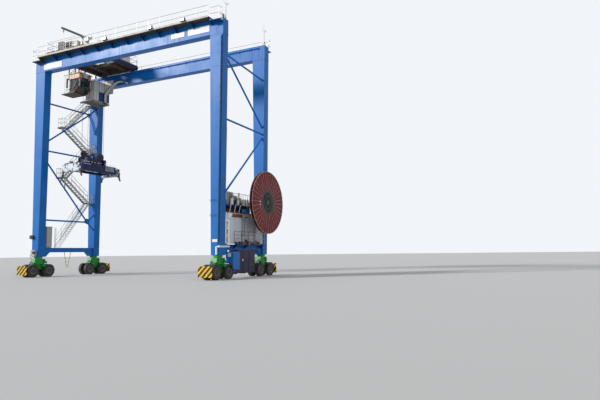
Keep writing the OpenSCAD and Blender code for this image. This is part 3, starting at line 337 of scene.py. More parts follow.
def bump(graph, shader, height, distance, strength=0.5):
    item = graph.node("ShaderNodeBump", Height=height, Distance=distance, Strength=strength)
    graph.feed(shader.inputs["Normal"], item.outputs[0])


def painted(name, paint, faded, dirt=(0.045, 0.035, 0.028), fading=0.5, streaks=0.3, gloss=0.34,
            seam=None, rust=0.0, coat=0.04, dent=0.003, shine=0.22):
    """Painted steel. seam is (direction, spacing in metres, shift)."""
    material, graph, shader, place = new_material(name, coat=coat)
    shader.inputs["Specular IOR Level"].default_value = shine
    worn = use_group(graph, WEATHERING, Vector=place, Paint=paint, Faded=faded, Dirt=dirt,
                     Fading=fading, Streaks=streaks, Gloss=gloss)
    colour, height = worn["Color"], worn["Height"]
    if seam:
        direction, spacing, shift = seam
        weld = use_group(graph, BANDS, Vector=place, Direction=direction, Spacing=spacing,
                         Share=0.022 / spacing, Shift=shift)["Mask"]
        colour = graph.mix(graph.times(weld, 0.45), colour, dirt)
        height = graph.plus(height, graph.times(weld, 0.9))
    if rust:
        rusted = use_group(graph, RUSTING, Vector=place, Amount=rust, Scale=2.2)
        colour = graph.mix(rusted["Mask"], colour, rusted["Color"])
    graph.feed(shader.inputs["Base Color"], colour)
    graph.feed(shader.inputs["Roughness"], worn["Roughness"])
    bump(graph, shader, height, dent)
    return material


BLUE, BLUE_FADED = (0.001, 0.125, 0.46), (0.006, 0.20, 0.55)
WHITE, WHITE_FADED = (0.74, 0.75, 0.73), (0.60, 0.60, 0.56)
girder_blue = painted("girder_blue", BLUE, BLUE_FADED, seam=((1, 0, 0), 2.95, 0.4), streaks=0.45)
leg_blue = painted("leg_blue", BLUE, BLUE_FADED, seam=((0, 0, 1), 2.9, 0.7), streaks=0.35)
frame_blue = painted("frame_blue", BLUE, BLUE_FADED, streaks=0.4, rust=0.08)
deep_blue = painted("deep_blue", (0.010, 0.035, 0.22), (0.02, 0.07, 0.30), streaks=0.6, rust=0.12)
navy = painted("navy", (0.012, 0.018, 0.07), (0.03, 0.03, 0.09), (0.10, 0.045, 0.03), streaks=0.7, rust=0.15)
white_paint = painted("white_paint", WHITE, WHITE_FADED, (0.20, 0.13, 0.08), streaks=0.5, rust=0.10)
clean_white = painted("clean_white", (0.82, 0.83, 0.82), WHITE_FADED, (0.30, 0.25, 0.20), streaks=0.2)
bright_white = painted("bright_white", (0.95, 0.95, 0.95), (0.90, 0.90, 0.90), streaks=0.15, rust=0.03)
house_white = painted("house_white", (0.70, 0.76, 0.86), (0.80, 0.83, 0.88), (0.25, 0.20, 0.16),
                      streaks=0.5, rust=0.06)
grey_paint = painted("grey_paint", (0.42, 0.44, 0.43), (0.52, 0.53, 0.50), (0.12, 0.09, 0.06),
                     streaks=0.4, rust=0.06)
bogie_green = painted("bogie_green", (0.015, 0.30, 0.045), (0.05, 0.42, 0.09), (0.03, 0.03, 0.02),
                      streaks=0.7, rust=0.10)
machine_dark = painted("machine_dark", (0.035, 0.038, 0.042), (0.09, 0.08, 0.075),
                       (0.02, 0.015, 0.012), streaks=0.5, rust=0.14, gloss=0.42)
reel_red = painted("reel_red", (0.16, 0.008, 0.010), (0.26, 0.02, 0.018), (0.03, 0.02, 0.02),
                   streaks=0.5, gloss=0.45, coat=0.0)
rusty_roof = painted("rusty_roof", (0.46, 0.45, 0.42), (0.36, 0.27, 0.20), (0.16, 0.06, 0.03),
                     fading=1.0, streaks=0.9, rust=0.85, gloss=0.6, coat=0.0)
under_brown = painted("under_brown", (0.10, 0.075, 0.06), (0.16, 0.11, 0.08), (0.03, 0.022, 0.02),
                      fading=0.9, streaks=0.7, rust=0.3, gloss=0.55, coat=0.0)
print("painted finishes ready")

# %% [markdown]
# ## Bare steel, rubber, glass and stripes
# Galvanised steel shows crystals of zinc, so its colour comes from a Voronoi pattern. Tyre rubber is dusty
# near the tread. The guards and the stays carry yellow and black bands, cut by the bands group.

# %% The other finishes
def galvanised(name, light, dark, rough=0.42, rust=0.05, dusty=0.4):
    material, graph, shader, place = new_material(name, metallic=0.55)
    crystal = graph.node("ShaderNodeTexVoronoi", Vector=place, Scale=22.0)
    tone = graph.node("ShaderNodeSeparateColor", Color=crystal.outputs["Color"]).outputs[0]
    worn = use_group(graph, WEATHERING, Vector=place, Paint=light, Faded=dark, Dirt=(0.09, 0.06, 0.045),
                     Fading=0.7, Streaks=dusty, Gloss=rough)
    colour = graph.mix(graph.times(tone, 0.45), worn["Color"], dark)
    rusted = use_group(graph, RUSTING, Vector=place, Amount=rust, Scale=3.5)
    graph.feed(shader.inputs["Base Color"], graph.mix(rusted["Mask"], colour, rusted["Color"]))
    graph.feed(shader.inputs["Roughness"], worn["Roughness"])
    bump(graph, shader, worn["Height"], 0.002)
    return material


def rubber(name):
    material, graph, shader, place = new_material(name)
    dust = graph.ramp(graph.noise(place, 3.2, 6.0, 0.7), 0.40, 0.72)
    height = graph.node("ShaderNodeSeparateXYZ", Vector=place).outputs["Z"]
    low = graph.ramp(height, 0.9, 0.0)
    share = graph.times(dust, graph.plus(0.25, graph.times(low, 0.5)))
    graph.feed(shader.inputs["Base Color"], graph.mix(share, (0.012, 0.012, 0.013), (0.16, 0.135, 0.105)))
    graph.feed(shader.inputs["Roughness"], graph.plus(0.62, graph.times(share, 0.3)))
    bump(graph, shader, graph.noise(place, 30.0, 4.0), 0.003)
    return material


def striped(name, direction, spacing, light=(0.86, 0.50, 0.015), dark=(0.012, 0.012, 0.012)):
    material, graph, shader, place = new_material(name, coat=0.2)
    band = use_group(graph, BANDS, Vector=place, Direction=direction, Spacing=spacing, Share=0.5,
                     Shift=0.0)["Mask"]
    worn = use_group(graph, WEATHERING, Vector=place, Paint=light, Faded=(0.75, 0.52, 0.10),
                     Dirt=(0.05, 0.035, 0.02), Fading=0.5, Streaks=0.8, Gloss=0.4)
    dirty_dark = graph.mix(graph.ramp(graph.noise(place, 5.0, 5.0), 0.45, 0.7), dark, (0.07, 0.06, 0.05))
    colour = graph.mix(band, dirty_dark, worn["Color"])
    rusted = use_group(graph, RUSTING, Vector=place, Amount=0.25, Scale=4.0)
    graph.feed(shader.inputs["Base Color"], graph.mix(rusted["Mask"], colour, rusted["Color"]))
    graph.feed(shader.inputs["Roughness"], worn["Roughness"])
    bump(graph, shader, worn["Height"], 0.003)
    return material


def tinted_glass(name, tint):
    material, graph, shader, place = new_material(name)
    shader.inputs["Transmission Weight"].default_value = 0.75
    shader.inputs["IOR"].default_value = 1.45
    dust = graph.ramp(graph.noise(place, 1.6, 5.0), 0.4, 0.75)
    graph.feed(shader.inputs["Base Color"], graph.mix(graph.times(dust, 0.4), tint, (0.35, 0.38, 0.34)))
    graph.feed(shader.inputs["Roughness"], graph.plus(0.04, graph.times(dust, 0.12)))
    return material


zinc = galvanised("zinc", (0.56, 0.57, 0.56), (0.38, 0.40, 0.40))
zinc_dirty = galvanised("zinc_dirty", (0.34, 0.33, 0.31), (0.20, 0.19, 0.18), rough=0.55, rust=0.25,
                        dusty=0.8)
rail_steel = galvanised("rail_steel", (0.30, 0.27, 0.25), (0.16, 0.14, 0.13), rough=0.38, rust=0.5, dusty=0.7)
rope_steel = galvanised("rope_steel", (0.10, 0.10, 0.10), (0.05, 0.05, 0.05), rough=0.5, rust=0.1)
tyre_rubber = rubber("tyre_rubber")
cable_rubber = painted("cable_rubber", (0.045, 0.062, 0.058), (0.075, 0.095, 0.085), (0.12, 0.10, 0.08),
                       streaks=0.4, gloss=0.55, coat=0.0)
stay_stripes = striped("stay_stripes", (0, 0, 1), 0.42)
cabin_glass = tinted_glass("cabin_glass", (0.025, 0.075, 0.065))
warning_red = painted("warning_red", (0.60, 0.055, 0.012), (0.70, 0.16, 0.05), streaks=0.3)
print("finishes ready:", len(bpy.data.materials))

# %% [markdown]
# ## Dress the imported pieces
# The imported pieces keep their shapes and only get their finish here. One table names the finish for each
# piece, and a loop puts it on. Some pieces get a paint of their own further down.

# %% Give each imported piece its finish
FINISH = {
    "front_girder": girder_blue, "rear_girder": girder_blue, "front_left_leg": leg_blue,
    "front_right_leg": leg_blue, "rear_left_leg": leg_blue, "rear_right_leg": leg_blue,
    "left_sill_beam": frame_blue, "right_sill_beam": frame_blue, "left_bracing": frame_blue,
    "right_bracing": frame_blue, "trolley_rails": rail_steel, "girder_walkways": under_brown,
    "walkway_handrails": zinc, "stair_stringers": zinc, "stair_treads": zinc_dirty,
    "stair_landings": zinc_dirty, "stair_handrails": zinc, "access_platform": zinc_dirty,
    "access_panels": white_paint, "electrical_house": house_white, "electrical_house_roof": rusty_roof,
    "service_platform": deep_blue, "service_handrails": zinc, "roof_units": grey_paint,
    "reel_support": frame_blue, "power_box": navy, "ground_ladder": frame_blue, "left_cabinet": grey_paint,
    "masts": clean_white, "floodlights": machine_dark, "tie_down_stays": stay_stripes,
    "trolley_frame": under_brown, "trolley_handrails": zinc, "hoist_machinery": machine_dark,
    "cabin_body": white_paint, "cabin_glass": cabin_glass, "service_jib": machine_dark,
    "headblock": frame_blue, "hoist_ropes": rope_steel, "spreader_frame": deep_blue,
    "front_end_beam": white_paint, "rear_end_beam": white_paint, "cable_reel": reel_red,
    "reel_cable": cable_rubber,
}
for name, piece in nodes.items():
    if name.startswith("flipper"):
        finish = machine_dark
    elif name.startswith("bogie"):
        finish = bogie_green
    elif name.startswith("axle"):
        finish = tyre_rubber
    else:
        finish = FINISH[name]
    piece.data.materials.clear()
    piece.data.materials.append(finish)
print("dressed", len(nodes), "pieces")

# %% [markdown]
# ## Floor and light
# The studio is a pale floor under a pale sky. A soft sun stands in front and to the left, as in the
# photograph, so that the front faces are bright and the reel side is in shade.

# %% Floor, world and lamps
floor_maker = Maker()
floor_maker.block((-400, -400, -0.5), (400, 400, -0.002))
floor_mesh = bpy.data.meshes.new("floor")
floor_mesh.from_pydata(floor_maker.points, [], floor_maker.faces)
floor = bpy.data.objects.new("floor", floor_mesh)
bpy.context.collection.objects.link(floor)
floor_material, graph, shader, place = new_material("floor_paint")
shader.inputs["Roughness"].default_value = 0.9
shader.inputs["Base Color"].default_value = (0.62, 0.62, 0.61, 1)
floor_mesh.materials.append(floor_material)

world = bpy.data.worlds.new("studio")
bpy.context.scene.world = world
world.use_nodes = True
graph = Graph(world.node_tree)
path = graph.node("ShaderNodeLightPath")
seen = graph.math("MAXIMUM", path.outputs["Is Camera Ray"], path.outputs["Is Transmission Ray"])
seen = graph.math("MAXIMUM", seen, path.outputs["Is Glossy Ray"])
strength = graph.plus(0.40, graph.times(seen, 0.55))
background = world.node_tree.nodes["Background"]
background.inputs["Color"].default_value = (0.93, 0.96, 1.0, 1)
graph.feed(background.inputs["Strength"], strength)


def sun(name, direction, strength, spread):
    lamp = bpy.data.lights.new(name, "SUN")
    lamp.energy = strength
    lamp.angle = math.radians(spread)
    item = bpy.data.objects.new(name, lamp)
    item.rotation_euler = Vector(direction).to_track_quat("-Z", "Y").to_euler()
    bpy.context.collection.objects.link(item)


sun("key_sun", (0.64, 0.66, -0.40), 2.9, 8)
sun("fill_sun", (-0.8, 0.35, -0.5), 0.25, 30)
print("lights ready")

# %% [markdown]
# ## Repeated parts, grown by geometry nodes
# Bolts, tyre lugs, grating bars, chain links and wound cable are repeats. Each kind has a node tree with
# named inputs and a seed. A tree runs once, and its result is kept as a plain mesh.

# %% The growing trees
INTEGER, FINISH_INPUT, SWITCH = "NodeSocketInt", "NodeSocketMaterial", "NodeSocketBool"


def new_tree(name, inputs):
    tree = bpy.data.node_groups.new(name, "GeometryNodeTree")
    tree.interface.new_socket("Geometry", in_out="INPUT", socket_type="NodeSocketGeometry")
    for label, kind, value in inputs + [("Seed", INTEGER, 1), ("Wear", FLOAT, 0.0)]:
        tree.interface.new_socket(label, in_out="INPUT", socket_type=kind).default_value = value
    tree.interface.new_socket("Material", in_out="INPUT", socket_type=FINISH_INPUT)
    tree.interface.new_socket("Geometry", in_out="OUTPUT", socket_type="NodeSocketGeometry")
    graph = Graph(tree)
    return graph, tree.nodes.new("NodeGroupInput").outputs, tree.nodes.new("NodeGroupOutput")


def close_tree(graph, given, leave, shape, scatter=None):
    """Put the shape on the scatter's points with a little random size, then make it real."""
    if scatter:
        points, rotation = scatter
        spread = graph.node("FunctionNodeRandomValue", {"data_type": "FLOAT"})
        graph.feed(spread.inputs[2], graph.math("SUBTRACT", 1.0, given["Wear"]))
        graph.feed(spread.inputs[3], 1.0)
        graph.feed(spread.inputs["Seed"], given["Seed"])
        placed = graph.node("GeometryNodeInstanceOnPoints", Points=points, Instance=shape, Rotation=rotation,
                            Scale=spread.outputs[1])
        shape = graph.node("GeometryNodeRealizeInstances", Geometry=placed.outputs[0]).outputs[0]
    done = graph.node("GeometryNodeSetMaterial", Geometry=shape, Material=given["Material"])
    graph.feed(leave.inputs[0], done.outputs[0])
    return graph.tree


graph, given, leave = new_tree("studs_on_points",
                               [("Radius", FLOAT, 0.02), ("Height", FLOAT, 0.03), ("Sides", INTEGER, 6)])
stud = graph.node("GeometryNodeMeshCylinder", Vertices=given["Sides"], Radius=given["Radius"],
                  Depth=given["Height"])
facing = graph.node("GeometryNodeInputNamedAttribute", {"data_type": "FLOAT_VECTOR"}, Name="facing")
turned = graph.node("FunctionNodeAlignRotationToVector", {"axis": "Z"}, Vector=facing.outputs[0])
STUDS = close_tree(graph, given, leave, stud.outputs["Mesh"], (given["Geometry"], turned.outputs[0]))

graph, given, leave = new_tree("blocks_on_circle", [
    ("Count", INTEGER, 12), ("Radius", FLOAT, 0.5), ("Size", VECTOR, (0.05, 0.05, 0.05)),
    ("Slant", FLOAT, 0.0)])
ring = graph.node("GeometryNodeMeshCircle", Vertices=given["Count"], Radius=given["Radius"])
block = graph.node("GeometryNodeMeshCube", Size=given["Size"])
slanted = graph.node("FunctionNodeEulerToRotation",
                     Euler=graph.node("ShaderNodeCombineXYZ", X=given["Slant"]).outputs[0])
outward = graph.node("FunctionNodeAlignRotationToVector", {"axis": "X", "pivot_axis": "Z"},
                     Vector=graph.node("GeometryNodeInputPosition").outputs[0])
both = graph.node("FunctionNodeRotateRotation", {"rotation_space": "LOCAL"}, Rotation=outward.outputs[0],
                  Rotate_By=slanted.outputs[0])
CIRCLE = close_tree(graph, given, leave, block.outputs["Mesh"], (ring.outputs[0], both.outputs[0]))

graph, given, leave = new_tree("wound_tube", [
    ("Turns", FLOAT, 5.0), ("Inner", FLOAT, 0.5), ("Outer", FLOAT, 1.0), ("Length", FLOAT, 0.0),
    ("Thickness", FLOAT, 0.02), ("Steps", INTEGER, 48)])
coil = graph.node("GeometryNodeCurveSpiral", Resolution=given["Steps"], Rotations=given["Turns"],
                  Start_Radius=given["Inner"], End_Radius=given["Outer"], Height=given["Length"])
swing = graph.node("ShaderNodeTexNoise", {"noise_dimensions": "4D"}, W=given["Seed"], Scale=3.0)
push = graph.node("ShaderNodeVectorMath", {"operation": "SCALE"}, Scale=given["Wear"])
graph.feed(push.inputs[0], graph.node("GeometryNodeInputPosition").outputs[0])
push_z = graph.stretch(push.outputs[0],
                       graph.node("ShaderNodeCombineXYZ", X=swing.outputs[0], Y=swing.outputs[0]).outputs[0])
moved = graph.node("GeometryNodeSetPosition", Geometry=coil.outputs[0], Offset=push_z)
profile = graph.node("GeometryNodeCurvePrimitiveCircle", Resolution=7, Radius=given["Thickness"])
tube = graph.node("GeometryNodeCurveToMesh", Curve=moved.outputs[0], Profile_Curve=profile.outputs[0],
                  Fill_Caps=True)
WOUND = close_tree(graph, given, leave, tube.outputs[0])

graph, given, leave = new_tree("links_on_path", [
    ("Spacing", FLOAT, 0.2), ("Size", VECTOR, (0.05, 0.05, 0.05)), ("Follow", SWITCH, False)])
curve = graph.node("GeometryNodeMeshToCurve", Mesh=given["Geometry"])
steps = graph.node("GeometryNodeResampleCurve", {"mode": "LENGTH"}, Curve=curve.outputs[0],
                   Length=given["Spacing"])
along = graph.node("FunctionNodeAlignRotationToVector", {"axis": "X", "pivot_axis": "Y"},
                   Factor=given["Follow"], Vector=graph.node("GeometryNodeInputTangent").outputs[0])
link = graph.node("GeometryNodeMeshCube", Size=given["Size"])
LINKS = close_tree(graph, given, leave, link.outputs["Mesh"], (steps.outputs[0], along.outputs[0]))


def grow(name, tree, body, values, source=None, place=None):
    """Run a tree on a source mesh, move the result to its place and keep it as a plain mesh."""
    piece = bpy.data.objects.new(name, source or bpy.data.meshes.new(name))
    bpy.context.collection.objects.link(piece)
    modifier = piece.modifiers.new("grow", "NODES")
    modifier.node_group = tree
    for item in tree.interface.items_tree:
        if item.item_type == "SOCKET" and item.in_out == "INPUT" and item.name in values:
            modifier[item.identifier] = values[item.name]
    shape = bpy.data.meshes.new_from_object(piece.evaluated_get(bpy.context.evaluated_depsgraph_get()))
    piece.modifiers.clear()
    piece.data = shape
    if place:
        shape.transform(place)
    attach(piece, body)
    return piece


def studs(name, body, material, places, radius=0.018, height=0.03, sides=6):
    """places is a list of (point, facing)."""
    mesh = bpy.data.meshes.new(name)
    mesh.from_pydata([point for point, facing in places], [], [])
    facings = mesh.attributes.new("facing", "FLOAT_VECTOR", "POINT")
    facings.data.foreach_set("vector", [value for point, facing in places for value in facing])
    values = {"Radius": radius, "Height": height, "Sides": sides, "Wear": 0.12, "Seed": 7,
              "Material": material}
    return grow(name, STUDS, body, values, mesh)


def links(name, body, material, paths, spacing, size, follow=False):
    mesh = bpy.data.meshes.new(name)
    points, edges = [], []
    for path in paths:
        edges += [(len(points) + k, len(points) + k + 1) for k in range(len(path) - 1)]
        points += path
    mesh.from_pydata(points, edges, [])
    values = {"Spacing": spacing, "Size": size, "Follow": follow, "Wear": 0.04, "Seed": 3,
              "Material": material}
    return grow(name, LINKS, body, values, mesh)


def ring_points(centre, axis, radius, count, shift=0.0):
    """Points round a centre, in the plane across an axis 'x', 'y' or 'z'."""
    spots = []
    for k in range(count):
        a = 2 * math.pi * (k + 0.5) / count
        u, v = radius * math.cos(a), radius * math.sin(a)
        offset = {"x": (shift, u, v), "y": (u, shift, v), "z": (u, v, shift)}[axis]
        spots.append(tuple(c + o for c, o in zip(centre, offset)))
    return spots


def to_x(centre):
    """Turns a ring or a spiral that was made about Z so that it lies about X, at a centre."""
    return Matrix.Translation(centre) @ Matrix.Rotation(math.radians(90), 4, "Y")


print("growing trees:", STUDS.name, CIRCLE.name, WOUND.name, LINKS.name)

# %% [markdown]
# ## Wheels
# Each axle carries two tyres. Their shoulders get slanted lugs, and the wheel discs get nuts, a painted
# rim ring and a valve. Every wheel is the same, so one loop dresses all sixteen.

# %% Tyre lugs, rims and nuts
TYRE_OUT = 0.43                         # from the axle's middle to the middle of a tyre
corners = [(sx, sy) for sx in SIDES for sy in SIDES]


def corner_name(sx, sy):
    return ("rear" if sy > 0 else "front") + "_" + ("right" if sx > 0 else "left")


for sx, sy in corners:
    for letter, t in (("a", -1), ("b", 1)):
        axle = "axle_%s_%s" % (corner_name(sx, sy), letter)
        joint = joints["roll_%s_%s" % (corner_name(sx, sy), letter)]
        cx, cy, cz = joint["pos_m"]
        nuts = []
        rim = Maker()
        for g in SIDES:
            wheel_x = cx + g * TYRE_OUT
            for f in SIDES:
                grow("lugs_%s_%d_%d" % (axle, g, f), CIRCLE, axle, {
                    "Count": 34, "Radius": 0.640, "Size": (0.076, 0.062, 0.075), "Slant": 0.35 * f,
                    "Wear": 0.05, "Seed": 5, "Material": tyre_rubber},
                    place=to_x((wheel_x + f * 0.150, cy, cz)))
            spots = ring_points((wheel_x, cy, cz), "x", 0.235, 12, g * 0.072)
            nuts += [(point, (g, 0, 0)) for point in spots]
            rim.tube(ring_points((wheel_x, cy, cz), "x", 0.312, 40, g * 0.170), 0.016, 8, closed=True)
            rim.tube(ring_points((wheel_x, cy, cz), "x", 0.168, 28, g * 0.170), 0.008, 6, closed=True)
            rim.tube([(wheel_x + g * 0.06, cy + 0.28, cz), (wheel_x + g * 0.13, cy + 0.27, cz)], 0.008, 6)
        studs("nuts_" + axle, axle, zinc_dirty, nuts, 0.020, 0.03)
        rim.make("rims_" + axle, axle, grey_paint, "galvanised", smooth=True)
print("wheels dressed:", 16)

# %% [markdown]
# ## Cable reel
# The flat cable lies on the reel turn upon turn: a helix shows the turns outside. The rim has bolts and
# spacer tubes between its two discs.

# %% Wound cable and rim
reel_x, reel_y, reel_z = joints["reel_turn"]["pos_m"]
grow("wound_outside", WOUND, "reel", {
    "Turns": 4.0, "Inner": 1.243, "Outer": 1.243, "Length": 0.17, "Thickness": 0.024, "Steps": 96,
    "Material": cable_rubber}, place=to_x((reel_x - 0.085, reel_y, reel_z)))
BOLT_RADIUS, SPACER_RADIUS, RIM_BOLTS = 3.07, 3.06, 40
rim_bolts, spacers = [], Maker()
for k in range(RIM_BOLTS):
    a = 2 * math.pi * k / RIM_BOLTS
    y, z = reel_y + BOLT_RADIUS * math.cos(a), reel_z + BOLT_RADIUS * math.sin(a)
    rim_bolts += [((reel_x + side * 0.148, y, z), (side, 0, 0)) for side in SIDES]
    if k % 2 == 0:
        y, z = reel_y + SPACER_RADIUS * math.cos(a), reel_z + SPACER_RADIUS * math.sin(a)
        spacers.tube([(reel_x - 0.12, y, z), (reel_x + 0.12, y, z)], 0.014, 8)
studs("reel_rim_bolts", "reel", zinc, rim_bolts, 0.016, 0.006)
spacers.make("reel_rim_spacers", "reel", reel_red, "red_paint")
print("reel dressed")

# %% [markdown]
# ## Rails, gratings and rope
# The trolley rails are clipped down every 600 mm. The walkways have grating bars. The drum
# carries two rope layers, one from each end. The four falls are straight tubes from the headblock up to
# the trolley.

# %% Rail clips, gratings and drum ropes
RAIL_Z = WALK_Z = 24.15                 # top of the girders
LIFT_X = -8.79                          # middle of the lifting gear at rest
clip_paths = [[(-12.9, s * 3.865 + t * 0.085, RAIL_Z + 0.02), (11.65, s * 3.865 + t * 0.085, RAIL_Z + 0.02)]
              for s in SIDES for t in SIDES]
links("rail_clips", "gantry", rail_steel, clip_paths, 0.6, (0.11, 0.09, 0.04))
clip_bolts = [((-12.9 + 0.6 * k * 24.55 / 24.6, path[0][1], RAIL_Z + 0.055), (0, 0, 1)) for path in clip_paths
              for k in range(42)]
studs("rail_clip_bolts", "gantry", zinc_dirty, clip_bolts, 0.02, 0.035)
links("walkway_grating", "gantry", zinc_dirty,
      [[(-12.0, s * 4.70, WALK_Z + 0.008), (10.8, s * 4.70, WALK_Z + 0.008)] for s in SIDES], 0.12,
      (0.014, 0.76, 0.03))
links("walkway_edge_angle", "gantry", zinc,
      [[(-12.0, s * 5.088, WALK_Z + 0.05), (10.8, s * 5.088, WALK_Z + 0.05)] for s in SIDES], 1.5,
      (1.42, 0.028, 0.03))
for side in SIDES:
    grow("drum_rope_%d" % side, WOUND, "trolley", {
        "Turns": 30.0, "Inner": 0.462, "Outer": 0.462, "Length": 1.15, "Thickness": 0.017, "Steps": 28,
        "Material": rope_steel}, place=to_x((LIFT_X + (-1.28 if side < 0 else 0.12), 0, 25.71)))
ROPE_LOW, ROPE_HIGH = 13.20, 24.4497    # on the headblock and on the trolley
falls = Maker()
for x in (LIFT_X - 0.45, LIFT_X + 0.45):
    for y in (-1.15, 1.15):
        falls.tube([(x, y, ROPE_LOW), (x, y, ROPE_HIGH)], 0.016, 16)
rope_falls = falls.make("hoist_rope_falls", None, rope_steel, "rope_steel", smooth=True)
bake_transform(rope_falls)
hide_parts("hoist_ropes")
print("rails, gratings and ropes ready")

# %% [markdown]
# ## Two-tone pieces
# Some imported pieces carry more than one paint. The guards on the bogies are striped, the sheaves of the
# headblock are bare and the reel's spokes are pale. A mask on the crane's own coordinates picks the finish,
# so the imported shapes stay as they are.

# %% Masks on the crane's own coordinates
graph, given, leave = new_group("inside_box", [
    ("Vector", VECTOR, (0, 0, 0)), ("Low", VECTOR, (-1, -1, -1)), ("High", VECTOR, (1, 1, 1))],
    [("Mask", FLOAT)])
place = graph.node("ShaderNodeSeparateXYZ", Vector=given["Vector"]).outputs
low = graph.node("ShaderNodeSeparateXYZ", Vector=given["Low"]).outputs
high = graph.node("ShaderNodeSeparateXYZ", Vector=given["High"]).outputs
inside = 1.0
for k in range(3):
    inside = graph.times(inside, graph.above(place[k], low[k]))
    inside = graph.times(inside, graph.below(place[k], high[k]))
graph.feed(leave.inputs["Mask"], inside)
INSIDE = graph.tree


def find_shader(material):
    return material.node_tree.nodes["Principled BSDF"]


def add_zone(material, mask_of, colour, roughness=None):
    """Lay a second colour over a finish where a mask is 1. mask_of gets the graph and the place."""
    graph = Graph(material.node_tree)
    shader = find_shader(material)
    place = graph.node("ShaderNodeTexCoord").outputs["Object"]
    mask = mask_of(graph, place)
    socket = shader.inputs["Base Color"]
    before = socket.links[0].from_socket
    if callable(colour):
        colour = colour(graph, place)
    graph.feed(socket, graph.mix(mask, before, colour))
    if roughness is not None:
        socket = shader.inputs["Roughness"]
        before = socket.links[0].from_socket
        share = graph.node("ShaderNodeMix")
        graph.feed(share.inputs[0], mask)
        graph.feed(share.inputs[2], before)
        graph.feed(share.inputs[3], roughness)
        graph.feed(socket, share.outputs[0])


def box_mask(corner, opposite):
    low, high = zip(*(sorted(pair) for pair in zip(corner, opposite)))
    return lambda graph, place: use_group(graph, INSIDE, Vector=place, Low=low, High=high)["Mask"]


def stain_and_shade_colour(light, dark, scale=4.0):
    """A mottled colour: the light colour with dark noise in it. It serves dirt and paint, and in some places
    painted light and shade.
    """
    return lambda graph, place: graph.mix(graph.ramp(graph.noise(place, scale, 6.0, 0.65), 0.42, 0.72),
                                          light, dark)


def stain_and_shade_box(material, corner, opposite, light, dark, scale=4.0, roughness=None):
    """Lay a mottled colour over a finish, inside a box. Some boxes are dirt and paint, and some are painted
    light and shade.
    """
    add_zone(material, box_mask(corner, opposite), stain_and_shade_colour(light, dark, scale), roughness)


GUARD_Y = 5.797                         # outer face of the bogies' guards


def guard_mask(graph, place):
    parts = graph.node("ShaderNodeSeparateXYZ", Vector=place).outputs
    return graph.above(graph.math("ABSOLUTE", parts["Y"]), GUARD_Y)


def guard_colour(graph, place):
    band = use_group(graph, BANDS, Vector=place, Direction=(0.7071, 0, -0.7071), Spacing=0.36, Share=0.5,
                     Shift=0.0)
    worn = graph.mix(graph.ramp(graph.noise(place, 5.0, 6.0), 0.42, 0.72), (0.86, 0.52, 0.015),
                     (0.45, 0.27, 0.05))
    dark = graph.mix(graph.ramp(graph.noise(place, 6.0, 6.0), 0.45, 0.7), (0.012, 0.012, 0.012),
                     (0.08, 0.065, 0.05))
    return graph.mix(band["Mask"], dark, worn)


add_zone(bogie_green, guard_mask, guard_colour)
stain_and_shade_box(reel_red, (12.70, -2, 0), (12.750, 6, 12), (0.34, 0.30, 0.29), (0.16, 0.06, 0.05))
stain_and_shade_box(reel_red, (13.010, -2, 0), (13.04, 6, 12), (0.42, 0.36, 0.35), (0.20, 0.07, 0.06))


def reel_radius(graph, place):
    """Distance from the reel's axis."""
    parts = graph.node("ShaderNodeSeparateXYZ", Vector=place).outputs
    flat = graph.node("ShaderNodeCombineXYZ", Y=graph.math("SUBTRACT", parts["Y"], reel_y),
                      Z=graph.math("SUBTRACT", parts["Z"], reel_z)).outputs[0]
    length = graph.node("ShaderNodeVectorMath", {"operation": "LENGTH"})
    graph.feed(length.inputs[0], flat)
    return length.outputs["Value"]


def ring_mask(low, high):
    """A ring round the reel's axis."""
    def mask(graph, place):
        away = reel_radius(graph, place)
        return graph.times(graph.above(away, low),
                          graph.below(away, high))
    return mask


TURN_PITCH, GROOVE_SHARE = 0.0562, 0.28


def groove_shade_mask(graph, place):
    """Painted shade: thin dark grooves between the turns of cable."""
    phase = graph.math("FRACT", graph.math("DIVIDE", reel_radius(graph, place), TURN_PITCH))
    return graph.below(phase, GROOVE_SHARE)


def patch_mask(scale, detail, roughness, low, high):
    """Patches of noise."""
    return lambda graph, place: graph.ramp(graph.noise(place, scale, detail, roughness), low, high)


def repaint(name, finish, *pieces):
    """A copy of a finish under its own name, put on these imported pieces."""
    material = finish.copy()
    material.name = name
    for piece in pieces:
        nodes[piece].data.materials[0] = material
    return material


add_zone(reel_red, ring_mask(3.055, 3.2), stain_and_shade_colour((0.45, 0.33, 0.32), (0.26, 0.10, 0.09)))
add_zone(reel_red, ring_mask(0.0, 1.02), stain_and_shade_colour((0.05, 0.05, 0.052), (0.10, 0.085, 0.08)))
for low in (6.92, 7.22):
    add_zone(reel_red, box_mask((13.0, 0.44, low), (13.04, 0.60, low + 0.16)), (0.70, 0.70, 0.68))
add_zone(reel_red, ring_mask(0.0, 0.64), (0.005, 0.005, 0.006))
add_zone(reel_red, ring_mask(0.0, 0.20), (0.12, 0.12, 0.12))
add_zone(repaint("wound_cable_rubber", cable_rubber, "reel_cable"), groove_shade_mask, (0.006, 0.008, 0.008))

sheave_blue = repaint("headblock_paint", navy, "headblock")
for s in SIDES:
    stain_and_shade_box(sheave_blue, (-8.85, s * 1.23 - 0.5, 13.15), (-8.73, s * 1.23 + 0.5, 14.2),
              (0.05, 0.045, 0.042), (0.11, 0.07, 0.05), 9.0, 0.45)
end_paint = repaint("end_beam_paint", house_white, "front_end_beam", "rear_end_beam")
add_zone(end_paint, patch_mask(3.5, 8.0, 0.70, 0.51, 0.57), (0.05, 0.045, 0.045))
beam_paint = repaint("spreader_paint", deep_blue, "spreader_frame")
add_zone(beam_paint, patch_mask(2.2, 6.0, 0.6, 0.34, 0.50), (0.004, 0.008, 0.045))
stain_and_shade_box(beam_paint, (-7.75, 0.9, 11.86), (-7.60, 2.2, 12.42), (0.30, 0.36, 0.42), (0.03, 0.04, 0.08), 3.0)
add_zone(beam_paint, box_mask((-7.75, -2.3, 12.30), (-7.60, -1.2, 12.44)), (0.20, 0.26, 0.40))
